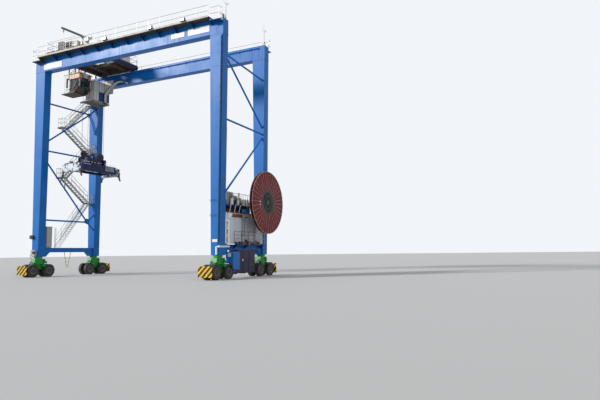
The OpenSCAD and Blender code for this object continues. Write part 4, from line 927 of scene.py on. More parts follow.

# Painted light: the end of the house that faces the sun is painted brighter than the rest of the wall. The
# brown marks in it are stains.
LIT_END_PAINT = (0.97, 0.97, 0.97)       # the lit end of the house
speckled = patch_mask(5.0, 4.0, 0.6, 0.45, 0.52)
house_paint = repaint("house_paint", house_white, "electrical_house")
add_zone(house_paint, box_mask((11.5, -3.5, 3.1), (11.7, -2.62, 5.45)), LIT_END_PAINT)
add_zone(house_paint, box_mask((11.5, -3.22, 3.2), (11.7, -2.98, 5.3)),
         lambda graph, place: graph.mix(speckled(graph, place), LIT_END_PAINT, (0.20, 0.14, 0.09)))
box_paint = repaint("power_box_paint", navy, "power_box")
add_zone(box_paint, patch_mask(1.1, 4.0, 0.6, 0.48, 0.60), (0.085, 0.012, 0.028))
print("zones laid on", bogie_green.name, reel_red.name, sheave_blue.name)

# %% [markdown]
# ## The driver's cabin
# The cabin hangs under the trolley. Its front corner has an orange frame round a cream panel, the glass is
# green, and the driver looks down through the foot window. Inside stand a chair and two consoles.

# %% Cabin trim and interior
CAB_X1, CAB_Y, CAB_Z0 = -10.25, 0.85, 21.2      # front, half width and floor of the cabin


def oval(low, high, cut):
    """An eight-sided outline between two corners."""
    (u0, v0), (u1, v1) = low, high
    return [(u0 + cut, v0), (u1 - cut, v0), (u1, v0 + cut), (u1, v1 - cut), (u1 - cut, v1), (u0 + cut, v1),
            (u0, v1 - cut), (u0, v0 + cut)]


frame_trim, panels, posts = Maker(), Maker(), Maker()
for s in SIDES:
    y = s * (CAB_Y + 0.03)
    ahead = CAB_X1 + 0.03
    corner = [(-11.92, y, 22.74), (-10.24, y, 22.74), (ahead, s * 0.80, 22.74), (ahead, s * 0.44, 22.90),
              (ahead, s * 0.36, 23.12), (ahead, s * 0.46, 23.32), (ahead, s * 0.80, 23.36),
              (-10.24, y, 23.36), (-11.92, y, 23.36)]
    frame_trim.tube(corner, 0.055, 8, closed=True)
    panels.block((-11.92, s * (CAB_Y + 0.004), 22.74), (-10.26, s * (CAB_Y + 0.024), 23.36))
    panels.block((CAB_X1 + 0.004, s * 0.44, 22.76), (CAB_X1 + 0.024, s * 0.86, 23.34))
    for x in (-11.5, -11.08, -10.66):
        frame_trim.block((x - 0.012, y, 22.76), (x + 0.012, y - s * 0.01, 23.34))
    posts.block((-12.05, s * (CAB_Y + 0.004), 21.30), (-11.80, s * (CAB_Y + 0.022), 22.72))
    posts.tube([(-11.36, s * (CAB_Y + 0.04), 21.42), (-10.52, s * (CAB_Y + 0.04), 22.62)], 0.024)
for y in (-CAB_Y - 0.02, CAB_Y + 0.02):
    frame_trim.tube([(CAB_X1 - 0.76, y, CAB_Z0 + 0.02), (CAB_X1 + 0.02, y, CAB_Z0 + 0.58)], 0.022)
frame_trim.make("cabin_orange_frame", "trolley", warning_red, "red_paint")
posts.make("cabin_light_posts", "trolley", clean_white, "white_paint")
cream = painted("cream", (0.72, 0.62, 0.42), (0.62, 0.52, 0.36), (0.25, 0.16, 0.10), streaks=0.6)
panels.make("cabin_cream_panels", "trolley", cream, "white_paint")
low_glass = Maker()
for s in SIDES:
    for x0, x1 in ((-11.72, -11.14), (-11.06, -10.72)):
        low_glass.block((x0, s * (CAB_Y + 0.002), 21.34), (x1, s * (CAB_Y + 0.010), 21.80))
low_glass.make("cabin_low_windows", "trolley", cabin_glass, "cabin_glass")
cabin_paint = repaint("cabin_paint", white_paint, "cabin_body")
# The cabin's floor and the band round its foot windows are painted darker.
cabin_low_dark = stain_and_shade_colour((0.040, 0.030, 0.027), (0.085, 0.05, 0.035), 5.0)
add_zone(cabin_paint, box_mask((-13.4, -2, 20.9), (-9.9, 2, 21.215)), cabin_low_dark, 0.5)
add_zone(cabin_paint, box_mask((-12.0, -2, 21.2), (-9.9, 2, 21.80)), cabin_low_dark, 0.5)

inside = Maker()
inside.block((-11.75, -0.26, 21.27), (-11.25, 0.26, 21.70))
inside.prism([(-11.80, 21.70), (-11.20, 21.70), (-11.20, 21.82), (-11.66, 21.86), (-11.80, 22.62),
              (-11.92, 22.62), (-11.90, 21.70)], "y", -0.24, 0.24)
inside.prism(oval((-11.94, 22.64), (-11.82, 22.84), 0.03), "y", -0.13, 0.13)
for s in SIDES:
    inside.prism([(-11.7, 21.26), (-11.15, 21.26), (-11.02, 21.95), (-11.2, 22.08), (-11.7, 22.02)],
                 "y", s * 0.34, s * 0.56)
    inside.tube([(-11.2, s * 0.45, 22.0), (-11.17, s * 0.45, 22.2)], 0.015)
    inside.disc((-11.17, s * 0.45, 22.22), (0, 0, 1), 0.03, 0.05, 12)
inside.make("cabin_interior", "trolley", machine_dark, "machinery")
screens = Maker()
screens.block((-10.52, -0.62, 22.25), (-10.48, -0.25, 22.52))
screens.block((-10.52, 0.25, 22.25), (-10.48, 0.62, 22.52))
screens.make("cabin_screens", "trolley", cable_rubber, "machinery")

trim = Maker()
for w0, w1 in ((-12.33, -11.75), (-11.67, -11.11), (-11.03, -10.37)):
    for s in SIDES:
        y = s * (CAB_Y + 0.008)
        trim.tube([(w0, y, 21.82), (w1, y, 21.82), (w1, y, 22.92), (w0, y, 22.92)], 0.016, 6, closed=True)
trim.tube([(CAB_X1 + 0.008, -0.71, 21.82), (CAB_X1 + 0.008, 0.71, 21.82), (CAB_X1 + 0.008, 0.71, 22.92),
           (CAB_X1 + 0.008, -0.71, 22.92)], 0.018, 6, closed=True)
trim.tube([(CAB_X1 + 0.03, -0.3, 21.86), (CAB_X1 + 0.05, -0.1, 22.5)], 0.010, 6)
trim.tube([(CAB_X1 + 0.05, -0.16, 22.15), (CAB_X1 + 0.05, -0.02, 22.82)], 0.008, 6)
trim.disc((CAB_X1 + 0.02, -0.3, 21.84), (1, 0, 0), 0.035, 0.06, 12)
for s in SIDES:
    y = s * (CAB_Y + 0.055)
    trim.tube([(-12.3, s * CAB_Y, 21.55), (-12.3, y, 21.55), (-10.5, y, 21.75), (-10.5, s * CAB_Y, 21.75)],
              0.016, 8)
trim.make("cabin_window_trim", "trolley", machine_dark, "machinery", smooth=True)

unit = Maker()
unit.block((-12.35, -0.45, 23.46), (-11.55, 0.45, 23.80))
unit.block((-12.38, -0.48, 23.78), (-11.52, 0.48, 23.82))
unit.disc((-11.95, 0.0, 23.83), (0, 0, 1), 0.26, 0.04, 28)
unit.make("cabin_cooler", "trolley", clean_white, "white_paint")
fins = [[(-12.30, s * 0.453, 23.52), (-11.60, s * 0.453, 23.52)] for s in SIDES]
links("cabin_cooler_fins", "trolley", machine_dark, fins, 0.05, (0.018, 0.012, 0.02))
lamp_body, lamp_glass = Maker(), Maker()
for y in (-0.62, 0.62):
    lamp_body.disc((-10.17, y, 23.30), (1, 0, -0.5), 0.10, 0.10, 20)
    lamp_glass.disc((-10.125, y, 23.277), (1, 0, -0.5), 0.085, 0.012, 20)
lamp_body.make("cabin_lamps", "trolley", machine_dark, "machinery")
lens = painted("lens", (0.16, 0.18, 0.19), (0.22, 0.24, 0.24), streaks=0.2, gloss=0.12, coat=1.0)
lamp_glass.make("cabin_lamp_lenses", "trolley", lens, "white_paint")
print("cabin dressed")

# %% [markdown]
# ## Plates, lamps and the cable chain
# The girders carry bare name plates, without any writing. Lamps sit on the walkway edge. A curved cable
# chain climbs from the boarding platform to the rear girder.

# %% Sign plates, lamp lenses, masts and chain
PLATES = ((5.87, 7.50, 23.10, 23.58), (7.91, 10.40, 23.05, 23.70), (-11.90, -9.10, 22.86, 23.52))
plates = Maker()
for x0, x1, z0, z1 in PLATES:
    for s in SIDES:
        y = s * 4.305
        plates.block((x0, y, z0), (x1, y + s * 0.012, z1))
for s in SIDES:
    plates.block((10.80, s * 4.304, 3.37), (11.36, s * 4.318, 3.62))
plates.make("sign_plates", "gantry", clean_white, "white_paint")
plate_bolts = []
for x0, x1, z0, z1 in PLATES:
    for x in (x0 + 0.06, (x0 + x1) / 2, x1 - 0.06):
        for z in (z0 + 0.05, z1 - 0.05):
            plate_bolts += [((x, -4.32, z), (0, -1, 0)), ((x, 4.32, z), (0, 1, 0))]
studs("sign_bolts", "gantry", zinc, plate_bolts, 0.016, 0.014)

glass, hoods = Maker(), Maker()
for x in (-1.96, 4.01, 7.97):
    for k in range(3):
        glass.block((x - 0.21 + k * 0.145, -5.309, 24.21), (x - 0.085 + k * 0.145, -5.301, 24.45))
    hoods.tube([(x - 0.2, -5.12, 24.17), (x - 0.2, -5.2, 24.5), (x + 0.2, -5.2, 24.5),
                (x + 0.2, -5.12, 24.17)], 0.014)
    for k in range(6):
        hoods.block((x - 0.24 + k * 0.09, -5.16, 24.48), (x - 0.225 + k * 0.09, -5.13, 24.54))
leg_lamp = (-12.83, -4.505, 4.3)
hoods.disc(leg_lamp, (0, 1, 0), 0.17, 0.02, 32)
hoods.tube(ring_points(leg_lamp, "y", 0.215, 32), 0.016, 8, closed=True)
glass.make("lamp_lenses", "gantry", lens, "white_paint")
hoods.make("lamp_hoods", "gantry", machine_dark, "machinery")

CHAIN_Y = 2.70                          # the cable chain's middle
ARC_CORNERS = [(-9.79, 20.66), (-9.79, 21.45), (-9.42, 21.95), (-8.90, 22.36), (-8.30, 22.72), (-7.75, 22.92),
               (-7.10, 22.86), (-6.47, 22.58)]
arc = []
for k in range(len(ARC_CORNERS) - 1):
    for t in (0.0, 0.25, 0.5, 0.75):
        (xa, za), (xb, zb) = ARC_CORNERS[k], ARC_CORNERS[k + 1]
        arc.append((xa + (xb - xa) * t, CHAIN_Y, za + (zb - za) * t))
arc.append((-6.47, CHAIN_Y, 22.58))
links("cable_chain_links", "gantry", clean_white, [arc], 0.155, (0.085, 0.40, 0.10),
      follow=True)
sides = Maker()
for y in (2.48, 2.92):
    sides.tube([(x, y, z) for x, _, z in arc], 0.035, 8)
for x, z in ((-8.35, 22.72), (-6.60, 22.66)):
    sides.tube([(x, 2.44, z), (x, 3.44, z + 0.12)], 0.045, 8)
    sides.tube([(x, 2.9, z), (x, 3.44, z + 0.65)], 0.035, 8)
sides.block((-9.86, 2.44, 20.40), (-9.70, 2.96, 20.60))
sides.make("cable_chain_sides", "gantry", machine_dark, "machinery", smooth=True)
bands = Maker()
for y in (2.58, 2.66, 2.74, 2.82):
    bands.tube([(x, y, z) for x, _, z in arc], 0.028, 8)
bands.make("cable_chain_cables", "gantry", cable_rubber, "cable_rubber", smooth=True)

top = Maker()
for s in SIDES:
    x, y = 11.76, s * 3.615
    top.tube([(x, y - 0.3, 25.75), (x, y + 0.3, 25.75)], 0.018)
    top.tube([(x, y - 0.3, 25.75), (x, y - 0.3, 26.2)], 0.012)
    top.disc((x, y + 0.3, 25.87), (0, 0, 1), 0.06, 0.22, 16)
    top.tube([(x - 0.16, y, 24.16), (x, y, 24.6), (x + 0.10, y, 24.16)], 0.02)
top.make("mast_arms", "gantry", clean_white, "white_paint")
print("plates, lamps and chain ready")

# %% [markdown]
# ## On the trolley
# The drum, the gearbox and the motors stand between the rails. Motors have cooling rings, the drum flanges
# are bolted, and pale switch boxes hang at the right end. The jib carries a pulley, a rope and a hook.

# %% Machinery details
DECK, DRUM_X, DRUM_Z = 24.96, LIFT_X, 25.71
rings = Maker()
for k in range(13):
    x = -9.42 + k * 0.09
    rings.tube(ring_points((x, -3.615, DECK + 0.52), "x", 0.315, 24), 0.014, 6, closed=True)
for k in range(7):
    y = 0.78 + k * 0.10
    rings.tube(ring_points((DRUM_X + 1.9, y, DECK + 0.65), "y", 0.285, 24), 0.014, 6, closed=True)
rings.make("motor_rings", "trolley", machine_dark, "machinery")
flange_bolts = []
for x in (-1.38, -0.02, 1.38):
    flange_bolts += [(p, (1, 0, 0)) for p in ring_points((DRUM_X + x, 0, DRUM_Z), "x", 0.495, 24, 0.03)]
for s in SIDES:
    for y in (-0.48, -0.36, 0.36, 0.48):
        flange_bolts.append(((DRUM_X + s * 1.49, y, DECK + 0.03), (0, 0, 1)))
studs("drum_bolts", "trolley", zinc, flange_bolts, 0.022, 0.05)
boxes = Maker()
boxes.block((-6.50, 1.35, DECK + 0.002), (-5.99, 2.75, DECK + 0.62))
boxes.block((-6.46, 1.10, DECK + 0.002), (-6.05, 1.33, DECK + 0.34))
boxes.block((-6.52, 1.33, DECK + 0.60), (-5.97, 2.77, DECK + 0.66))
boxes.disc((-6.24, 0.75, DECK + 0.24), (0, 1, 0), 0.22, 0.5, 24)
# Painted light: this thin white plate under the deck stands in for a patch of sunlight seen through the deck.
boxes.block((-7.25, 0.12, 24.36), (-6.35, 0.52, 24.45))
boxes.block((-6.62, -3.62, DECK + 0.46), (-6.02, -3.40, DECK + 0.86))
boxes.block((-6.50, -3.28, DECK + 0.80), (-5.98, -3.08, DECK + 1.12))
boxes.block((-7.62, -3.98, DECK), (-7.24, -3.72, DECK + 0.55))
boxes.block((-6.75, -3.95, DECK), (-6.55, -3.75, DECK + 0.5))
boxes.block((-11.6, 2.2, DECK), (-10.8, 3.0, DECK + 0.9))
boxes.block((-11.62, 2.18, DECK + 0.88), (-10.78, 3.02, DECK + 0.93))
boxes.make("trolley_boxes", "trolley", white_paint, "white_paint")
drives = Maker()
for x in (-11.98, -6.0):
    for s in SIDES:
        inward = s * 3.55
        drives.disc((x + (0.25 if x < -9 else -0.25), inward, 24.62), (0, 1, 0), 0.15, 0.5, 20)
        drives.block((x + (0.08 if x < -9 else -0.42), inward, 24.46),
                     (x + (0.42 if x < -9 else -0.08), inward + s * 0.2, 24.80))
drives.disc((DRUM_X - 1.72, 0, DRUM_Z), (1, 0, 0), 0.36, 0.04, 32)
drives.block((DRUM_X - 1.80, -0.14, DRUM_Z + 0.22), (DRUM_X - 1.64, 0.14, DRUM_Z + 0.44))
drives.disc((-9.86, -3.615, DECK + 0.95), (0, 0, 1), 0.16, 0.12, 20)
drives.tube([(-9.2, -3.3, DECK + 0.15), (-9.0, -2.9, DECK + 0.05), (-8.0, -2.6, DECK + 0.04),
             (-7.2, -1.2, DECK + 0.04), (-6.9, -0.6, DECK + 0.2)], 0.03)
drives.tube([(-10.9, 2.2, DECK + 0.3), (-10.9, 1.0, DECK + 0.04), (-10.6, 0.5, DECK + 0.04),
             (-10.4, 0.3, DECK + 0.4)], 0.025)
drives.make("trolley_drives", "trolley", machine_dark, "machinery", smooth=True)
panel_fins = [[(x, 1.893, DECK + 0.3), (x, 1.893, DECK + 1.2)] for x in (-10.1, -9.1, -8.1)]
links("cabinet_louvres", "trolley", zinc, panel_fins, 0.09, (0.42, 0.02, 0.03))
JIB_Y = -3.365
tackle = Maker()
tackle.disc((-10.10, JIB_Y, 27.60), (0, 1, 0), 0.10, 0.05, 24)
tackle.block((-10.15, JIB_Y - 0.04, 27.28), (-10.05, JIB_Y + 0.04, 27.52))
tackle.tube([(-10.10, JIB_Y, 27.30), (-10.10, JIB_Y, 27.22), (-10.05, JIB_Y, 27.17), (-10.10, JIB_Y, 27.12),
             (-10.16, JIB_Y, 27.15)], 0.014)
tackle.disc((-6.46, JIB_Y, 25.72), (0, 1, 0), 0.13, 0.26, 20)
tackle.tube([(-6.5, JIB_Y, 25.86), (-8.3, JIB_Y, 26.78), (-10.08, JIB_Y, 27.68)], 0.010)
tackle.make("jib_tackle", "jib", machine_dark, "machinery", smooth=True)
jib_paint = painted("jib_paint", (0.010, 0.011, 0.014), (0.028, 0.026, 0.026), streaks=0.4, rust=0.08,
                    gloss=0.5, coat=0.0)
stain_and_shade_box(jib_paint, (-6.62, -3.7, 24.9), (-5.9, -3.0, 26.0), (0.66, 0.64, 0.56), (0.32, 0.20, 0.12), 6.0)
nodes["service_jib"].data.materials[0] = jib_paint
hoist_paint = repaint("hoist_paint", machine_dark, "hoist_machinery")
stain_and_shade_box(hoist_paint, (-10.4, 1.8, 24.9), (-7.2, 3.4, 26.5), (0.50, 0.49, 0.45), (0.26, 0.18, 0.12))
stain_and_shade_box(hoist_paint, (-8.2, -4.0, 25.07), (-7.3, -3.3, 25.8), (0.62, 0.56, 0.42), (0.25, 0.15, 0.09))
stain_and_shade_box(hoist_paint, (-9.5, -4.0, 25.07), (-8.18, -3.2, 25.9), (0.13, 0.085, 0.06), (0.05, 0.04, 0.035))
stain_and_shade_box(hoist_paint, (-10.5, -4.0, 25.0), (-9.5, -3.2, 26.5), (0.045, 0.033, 0.028), (0.10, 0.06, 0.04))
# The walkway is painted almost black: painted shade, the look of its shaded underside.
walkway_paint = painted("walkway_paint", (0.050, 0.045, 0.043), (0.085, 0.068, 0.058),
                        (0.02, 0.016, 0.014), fading=0.8, streaks=0.6, rust=0.25, gloss=0.5, coat=0.0)
for s in SIDES:
    # The outer edge plates are painted pale cream: painted light, the look of the sunlit edge.
    stain_and_shade_box(walkway_paint, (-14, s * 5.085, 23.9), (14, s * 5.2, 24.5), (0.62, 0.60, 0.52),
              (0.36, 0.31, 0.25), 3.0)
    # The brackets under the walkway are painted dark blue: their blue paint, darkened as painted shade.
    stain_and_shade_box(walkway_paint, (-11.9, s * 4.3, 23.0), (14, s * 5.2, 24.04), (0.003, 0.06, 0.25),
              (0.01, 0.05, 0.16), 2.0)
nodes["girder_walkways"].data.materials[0] = walkway_paint
carriage_paint = repaint("carriage_paint", under_brown, "trolley_frame")
stain_and_shade_box(carriage_paint, (-6.20, -4.5, 24.3), (-5.7, 4.5, 24.86), (0.006, 0.022, 0.10), (0.02, 0.03, 0.08),
          2.0)
# Painted shade: the lower right part of the boarding panels is painted dark blue, the look of the leg's
# shaded side behind them.
panel_paint = repaint("panel_paint", white_paint, "access_panels")
stain_and_shade_box(panel_paint, (-9.95, 1.74, 20.5), (-9.8, 3.5, 21.72), (0.004, 0.05, 0.20), (0.02, 0.05, 0.14), 2.0)
print("trolley dressed")

# %% [markdown]
# ## Spreader and headblock
# Dark twistlock drives stand on the end beams, hydraulic hoses lie along them, and the headblock has
# connector boxes, a cable basket and bolts. The spreader's side beams carry tanks, valves and plates.

# %% Spreader details
SX = LIFT_X                             # the spreader hangs under the trolley's middle
for sy, body in ((-1, "front_telescope"), (1, "rear_telescope")):
    y_mid = sy * 2.83
    fittings, hoses = Maker(), Maker()
    for t in SIDES:
        x = SX + t * 1.08
        fittings.block((x - 0.16, y_mid - 0.10, 12.06), (x + 0.16, y_mid + 0.10, 12.26))
        fittings.disc((x, y_mid, 12.31), (0, 0, 1), 0.075, 0.12, 20)
        fittings.tube([(x - t * 0.16, y_mid, 12.16), (SX + t * 0.62, y_mid, 12.20)], 0.03)
        fittings.disc((SX + t * 1.27, y_mid - sy * 0.15, 11.82), (0, 1, 0), 0.07, 0.10, 20)
        for k in range(3):
            off = (k - 1) * 0.05
            hoses.tube([(SX + t * 0.55, y_mid + off, 12.33), (SX + t * 0.80, y_mid + off, 12.42 + 0.02 * k),
                        (SX + t * 1.0, y_mid + off, 12.34), (SX + t * 1.14, y_mid + off, 12.22)], 0.016)
    fittings.block((SX - 0.55, y_mid - 0.12, 12.31), (SX + 0.55, y_mid + 0.12, 12.36))
    fittings.block((SX - 0.30, y_mid - 0.09, 12.355), (SX + 0.05, y_mid + 0.09, 12.56))
    fittings.make("lock_drives_" + body, body, machine_dark, "machinery", smooth=True)
    hoses.make("end_hoses_" + body, body, cable_rubber, "cable_rubber", smooth=True)
    bolts = [((SX + t * 1.30 + a, y_mid + b, 12.185), (0, 0, 1)) for t in SIDES for a in (-0.03, 0.03)
             for b in (-0.14, 0.14)]
    bolts += [((SX + x, sy * 3.027, z), (0, sy, 0)) for x in (-1.3, -0.9, -0.5, 0.5, 0.9, 1.3)
              for z in (11.42, 12.10)]
    studs("end_bolts_" + body, body, zinc_dirty, bolts, 0.018, 0.02)

gear = Maker()
for s in SIDES:
    gear.disc((SX + s * 0.62, 0.0, 12.52), (0, 1, 0), 0.13, 0.9, 24)
    gear.block((SX + s * 0.95 - 0.07, -0.35, 11.95), (SX + s * 0.95 + 0.07, 0.35, 12.35))
    gear.tube([(SX + s * 0.88, -2.2, 12.40), (SX + s * 0.88, 2.2, 12.40)], 0.022)
    gear.tube([(SX + s * 0.82, -2.2, 12.34), (SX + s * 0.82, 2.2, 12.34)], 0.022)
    gear.block((SX + s * 0.42 - 0.13, -0.22, 13.04), (SX + s * 0.42 + 0.13, 0.22, 13.42))
    for y in (-0.7, 0.7):
        gear.block((SX + s * 0.20 - 0.06, y - 0.14, 13.42), (SX + s * 0.20 + 0.06, y + 0.14, 13.56))
gear.tube([(SX - 0.42, 0.0, 13.42), (SX - 0.30, 0.2, 13.75), (SX, 0.3, 13.8), (SX + 0.3, 0.2, 13.7),
           (SX + 0.42, 0.0, 13.42)], 0.03)
gear.make("spreader_gear", "lifting_gear", machine_dark, "machinery", smooth=True)
basket = Maker()
for z in (13.95, 14.15, 14.35):
    basket.tube(ring_points((SX, 0, z), "z", 0.44, 28), 0.022, 6, closed=True)
for k, p in enumerate(ring_points((SX, 0, 13.93), "z", 0.44, 16)):
    basket.tube([(p[0], p[1], 13.10 if k % 4 == 0 else 13.93), (p[0], p[1], 14.36)], 0.016)
basket.make("cable_basket", "lifting_gear", zinc, "galvanised")
specks = Maker()
for k, y in enumerate((-2.2, -1.85, -1.62, -1.1, -0.7, -0.2, 0.15, 0.8, 1.05, 1.6, 2.1)):
    specks.block((SX + 1.10, y, 12.60), (SX + 1.138, y + 0.10 + 0.03 * (k % 3), 12.66 + 0.02 * (k % 2)))
for y in (-1.3, 0.45, 1.35):
    specks.block((SX + 1.10, y, 12.10), (SX + 1.136, y + 0.22, 12.24))
specks.make("spreader_plates", "lifting_gear", clean_white, "white_paint")
for sy, body in ((-1, "front_telescope"), (1, "rear_telescope")):
    rods = Maker()
    for t in SIDES:
        x, y = SX + t * 1.33, sy * 2.83
        rods.tube([(x, y, 11.36), (x, y, 12.305)], 0.035, 10)
        rods.tube([(x - t * 0.12, y - 0.19, 12.10), (x - t * 0.12, y + 0.19, 12.10)], 0.03, 10)
    rods.make("end_rods_" + body, body, machine_dark, "machinery", smooth=True)
lock_bolts = []
for s in SIDES:
    lock_bolts += [((SX + x, s * y, 13.21), (0, 0, 1)) for x in (-0.6, 0.6) for y in (1.12, 1.34)]
    lock_bolts += [((SX + s * 1.142, y, z), (s, 0, 0)) for y in (-2.3, -1.5, -0.7, 0.7, 1.5, 2.3)
                   for z in (11.98, 12.52)]
studs("spreader_bolts", "lifting_gear", zinc, lock_bolts, 0.02, 0.012)
print("spreader dressed")

# %% [markdown]
# ## House, platform and feet
# Round the electrical house are coolers, conduits, lamps and the small things that collect on its walkway.
# Blue side sheets guard the ladder. White and grey pipes run down to the bogies.

# %% Electrical house and service platform details
SERVICE_Z = 3.15                        # walkway beside the house
pale, dark, pipes, rusty = Maker(), Maker(), Maker(), Maker()
pale.block((11.613, -3.02, 5.60), (11.70, -2.38, 6.06))
for y in (-3.0, -2.2, -1.4):
    pale.tube([(12.02, y - 0.10, 6.80), (11.64, y + 0.25, 6.16)], 0.03)
pale.block((11.615, 2.05, 4.30), (11.74, 2.55, 5.10))
pale.tube([(11.33, -4.42, 2.24), (11.33, -4.42, 2.92), (11.56, -4.42, 2.96), (11.56, -2.72, 2.96)], 0.09, 16)
pale.disc((11.618, -0.44, 1.68), (1, 0, 0), 0.10, 0.016, 20)
pale.block((11.41, -2.726, 2.02), (11.77, -2.712, 2.38))
pale.make("house_white_boxes", "gantry", bright_white, "white_paint")
rusty.block((10.70, -2.65, 6.19), (11.30, -1.85, 6.47))
rusty.block((11.613, -2.30, 5.70), (11.66, -0.55, 6.00))
rusty.block((10.80, -1.2, 6.19), (11.20, -0.7, 6.38))
rusty.block((11.62, 0.15, SERVICE_Z), (11.95, 0.62, 3.47))
rusty.block((11.66, -0.55, SERVICE_Z), (11.90, -0.20, 3.36))
rusty.block((11.60, 1.55, SERVICE_Z), (11.86, 1.98, 3.55))
rusty.make("rusty_boxes", "gantry", rusty_roof, "rusty_plate")
for y in (-2.4, 0.1, 2.65):
    dark.block((11.61, y - 0.14, 5.72), (11.72, y + 0.14, 5.80))
dark.disc((11.065, -2.325, 8.06), (0, 0, 1), 0.30, 0.03, 32)
dark.disc((11.015, -1.225, 7.76), (0, 0, 1), 0.22, 0.03, 32)
dark.disc((11.04, 0.65, 7.56), (0, 0, 1), 0.20, 0.03, 32)
for z in (7.45, 7.0):
    dark.block((11.462, -2.60, z - 0.14), (11.478, -2.05, z + 0.14))
dark.tube(ring_points((11.80, 1.20, 3.19), "z", 0.20, 28), 0.032, 8, closed=True)
dark.tube(ring_points((11.80, 1.20, 3.25), "z", 0.19, 28), 0.032, 8, closed=True)
# Painted shade: this dark sheet between the house roof and the platform stands for the shaded underside of
# the platform seen behind the braces.
dark.block((10.95, -3.30, 6.16), (11.05, 1.60, 6.72))
dark.block((11.60, -1.35, SERVICE_Z), (11.86, -0.95, 3.42))
for x0, y0, x1, y1, high in ((11.64, -1.85, 11.80, -1.55, 3.40), (11.68, 0.72, 11.86, 1.02, 3.36),
                             (11.62, 2.10, 11.84, 2.42, 3.44), (11.64, 0.0, 11.76, 0.12, 3.62)):
    dark.block((x0, y0, SERVICE_Z), (x1, y1, high))
for y in (-0.62, -0.12):
    dark.tube([(11.66, y, 3.16), (11.66, y, 5.66)], 0.022)
for k in range(9):
    dark.tube([(11.66, -0.62, 3.42 + 0.27 * k), (11.66, -0.12, 3.42 + 0.27 * k)], 0.016, 6)
for z in (3.68, 4.02, 4.36):
    dark.tube([(12.03, -2.58, z), (12.03, 1.15, z)], 0.018)
for y in (-2.58, -1.35, -0.1, 1.15):
    dark.tube([(12.03, y, SERVICE_Z), (12.03, y, 4.36)], 0.02)
for y in (-1.1, -0.2, 0.7, 1.5):
    dark.disc((11.615, y, 0.95), (1, 0, 0), 0.09, 0.02, 20)
dark.make("house_dark_items", "gantry", machine_dark, "machinery", smooth=True)
for k in range(4):
    y = 1.55 + k * 0.09
    pipes.tube([(11.64, y, 3.30), (11.64, y, 6.02)], 0.022)
    pipes.tube([(x, -3.55 + k * 0.08, z) for x, z in ((11.47, 3.3), (11.576, 8.0), (11.70, 14.0))], 0.018)
for z in (3.6, 4.4, 5.2, 5.9):
    pipes.block((11.613, 1.50, z - 0.02), (11.67, 1.88, z + 0.02))
pipes.tube([(11.2, -1.9, 7.2), (11.2, -1.6, 7.2), (11.2, -1.5, 7.2)], 0.05)
pipes.tube([(10.9, -0.9, 7.3), (10.9, -0.7, 7.3), (11.0, -0.45, 7.3)], 0.05)
pipes.tube([(11.1, 0.0, 7.1), (11.1, 0.35, 7.1)], 0.06)
for y in (-2.9, 1.4):
    pipes.tube([(10.5, y, 6.9), (10.5, y, 8.05), (10.9, y, 8.25)], 0.03)
pipes.make("house_pipes", "gantry", zinc, "galvanised", smooth=True)
fans = []
for centre, radius in (((11.065, -2.325, 8.085), 0.28), ((11.015, -1.225, 7.785), 0.20),
                       ((11.04, 0.65, 7.585), 0.18)):
    for k in range(4):
        fans.append(ring_points(centre, "z", radius * (k + 1) / 4, 24))
guards = Maker()
for ring in fans:
    guards.tube(ring, 0.006, 6, closed=True)
for k in range(9):
    guards.tube([(10.70, -2.73, 7.0 + k * 0.11), (11.43, -2.73, 7.0 + k * 0.11)], 0.012, 6)
guards.make("fan_guards", "gantry", zinc, "galvanised")
boards = Maker()
boards.block((12.015, -1.20, 6.16), (12.035, 0.22, 6.50))
boards.prism([(11.20, 2.49), (11.97, 2.49), (11.97, 1.42), (11.20, 1.42)], "y", -2.712, -2.69)
boards.prism([(-2.69, 2.49), (-1.56, 2.49), (-1.56, 0.80), (-2.69, 0.92)], "x", 11.965, 11.985)
sky_blue = painted("sky_blue", (0.012, 0.17, 0.58), (0.05, 0.26, 0.62), streaks=0.5, rust=0.05)
boards.make("blue_boards", "gantry", sky_blue, "blue_paint")

legs, runs = Maker(), Maker()
for z in (7.12, 5.76):
    for x in (10.62, 10.90, 11.18):
        legs.tube([(x, -4.30, z + 0.10), (x, -4.40, z + 0.06), (x, -4.44, z - 0.02),
                   (x + 0.05, -4.42, z - 0.08)], 0.018)
for s in SIDES:
    runs.tube([(-11.9, s * 3.39, 23.92), (11.3, s * 3.39, 23.92)], 0.028, 6)
    runs.tube([(-11.9, s * 3.39, 23.84), (11.3, s * 3.39, 23.84)], 0.022, 6)
    for k in range(20):
        x = -11.6 + k * 1.2
        runs.block((x - 0.02, s * 3.34, 23.78), (x + 0.02, s * 3.43, 23.98))
for y in (-1.95, -2.1):
    legs.tube([(-12.02, y, 3.18), (-12.02, y, 5.4)], 0.02)
legs.tube([(-12.72, -4.2, 2.85), (-12.9, -4.4, 2.5), (-12.9, -4.45, 2.25), (-12.7, -4.4, 1.9)], 0.025)
legs.disc((-12.15, -4.64, 2.62), (0, 1, 0), 0.15, 0.16, 24)
runs.make("girder_conduits", "gantry", girder_blue, "blue_paint")
legs.make("leg_fittings", "gantry", machine_dark, "machinery", smooth=True)
hinge_bolts = [((-12.018, y, z), (1, 0, 0)) for y in (-3.05, -2.45) for z in (3.4, 4.4, 5.3)]
studs("cabinet_bolts", "gantry", zinc, hinge_bolts, 0.018, 0.02)
gusset_bolts = []
for y, z in ((2.425, 19.3), (2.425, 6.2)):
    gusset_bolts += [(p, (-1, 0, 0)) for p in ring_points((-12.106, y, z), "x", 0.11, 8)]
studs("gusset_bolts", "gantry", zinc, gusset_bolts, 0.016, 0.02)
print("house, platform and feet dressed")

# %% [markdown]
# ## Bogies
# Each bogie has a bolted slewing ring, hoses to its drive, caps over its axles and reflectors on its
# guards. The same loop dresses all four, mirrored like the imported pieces.

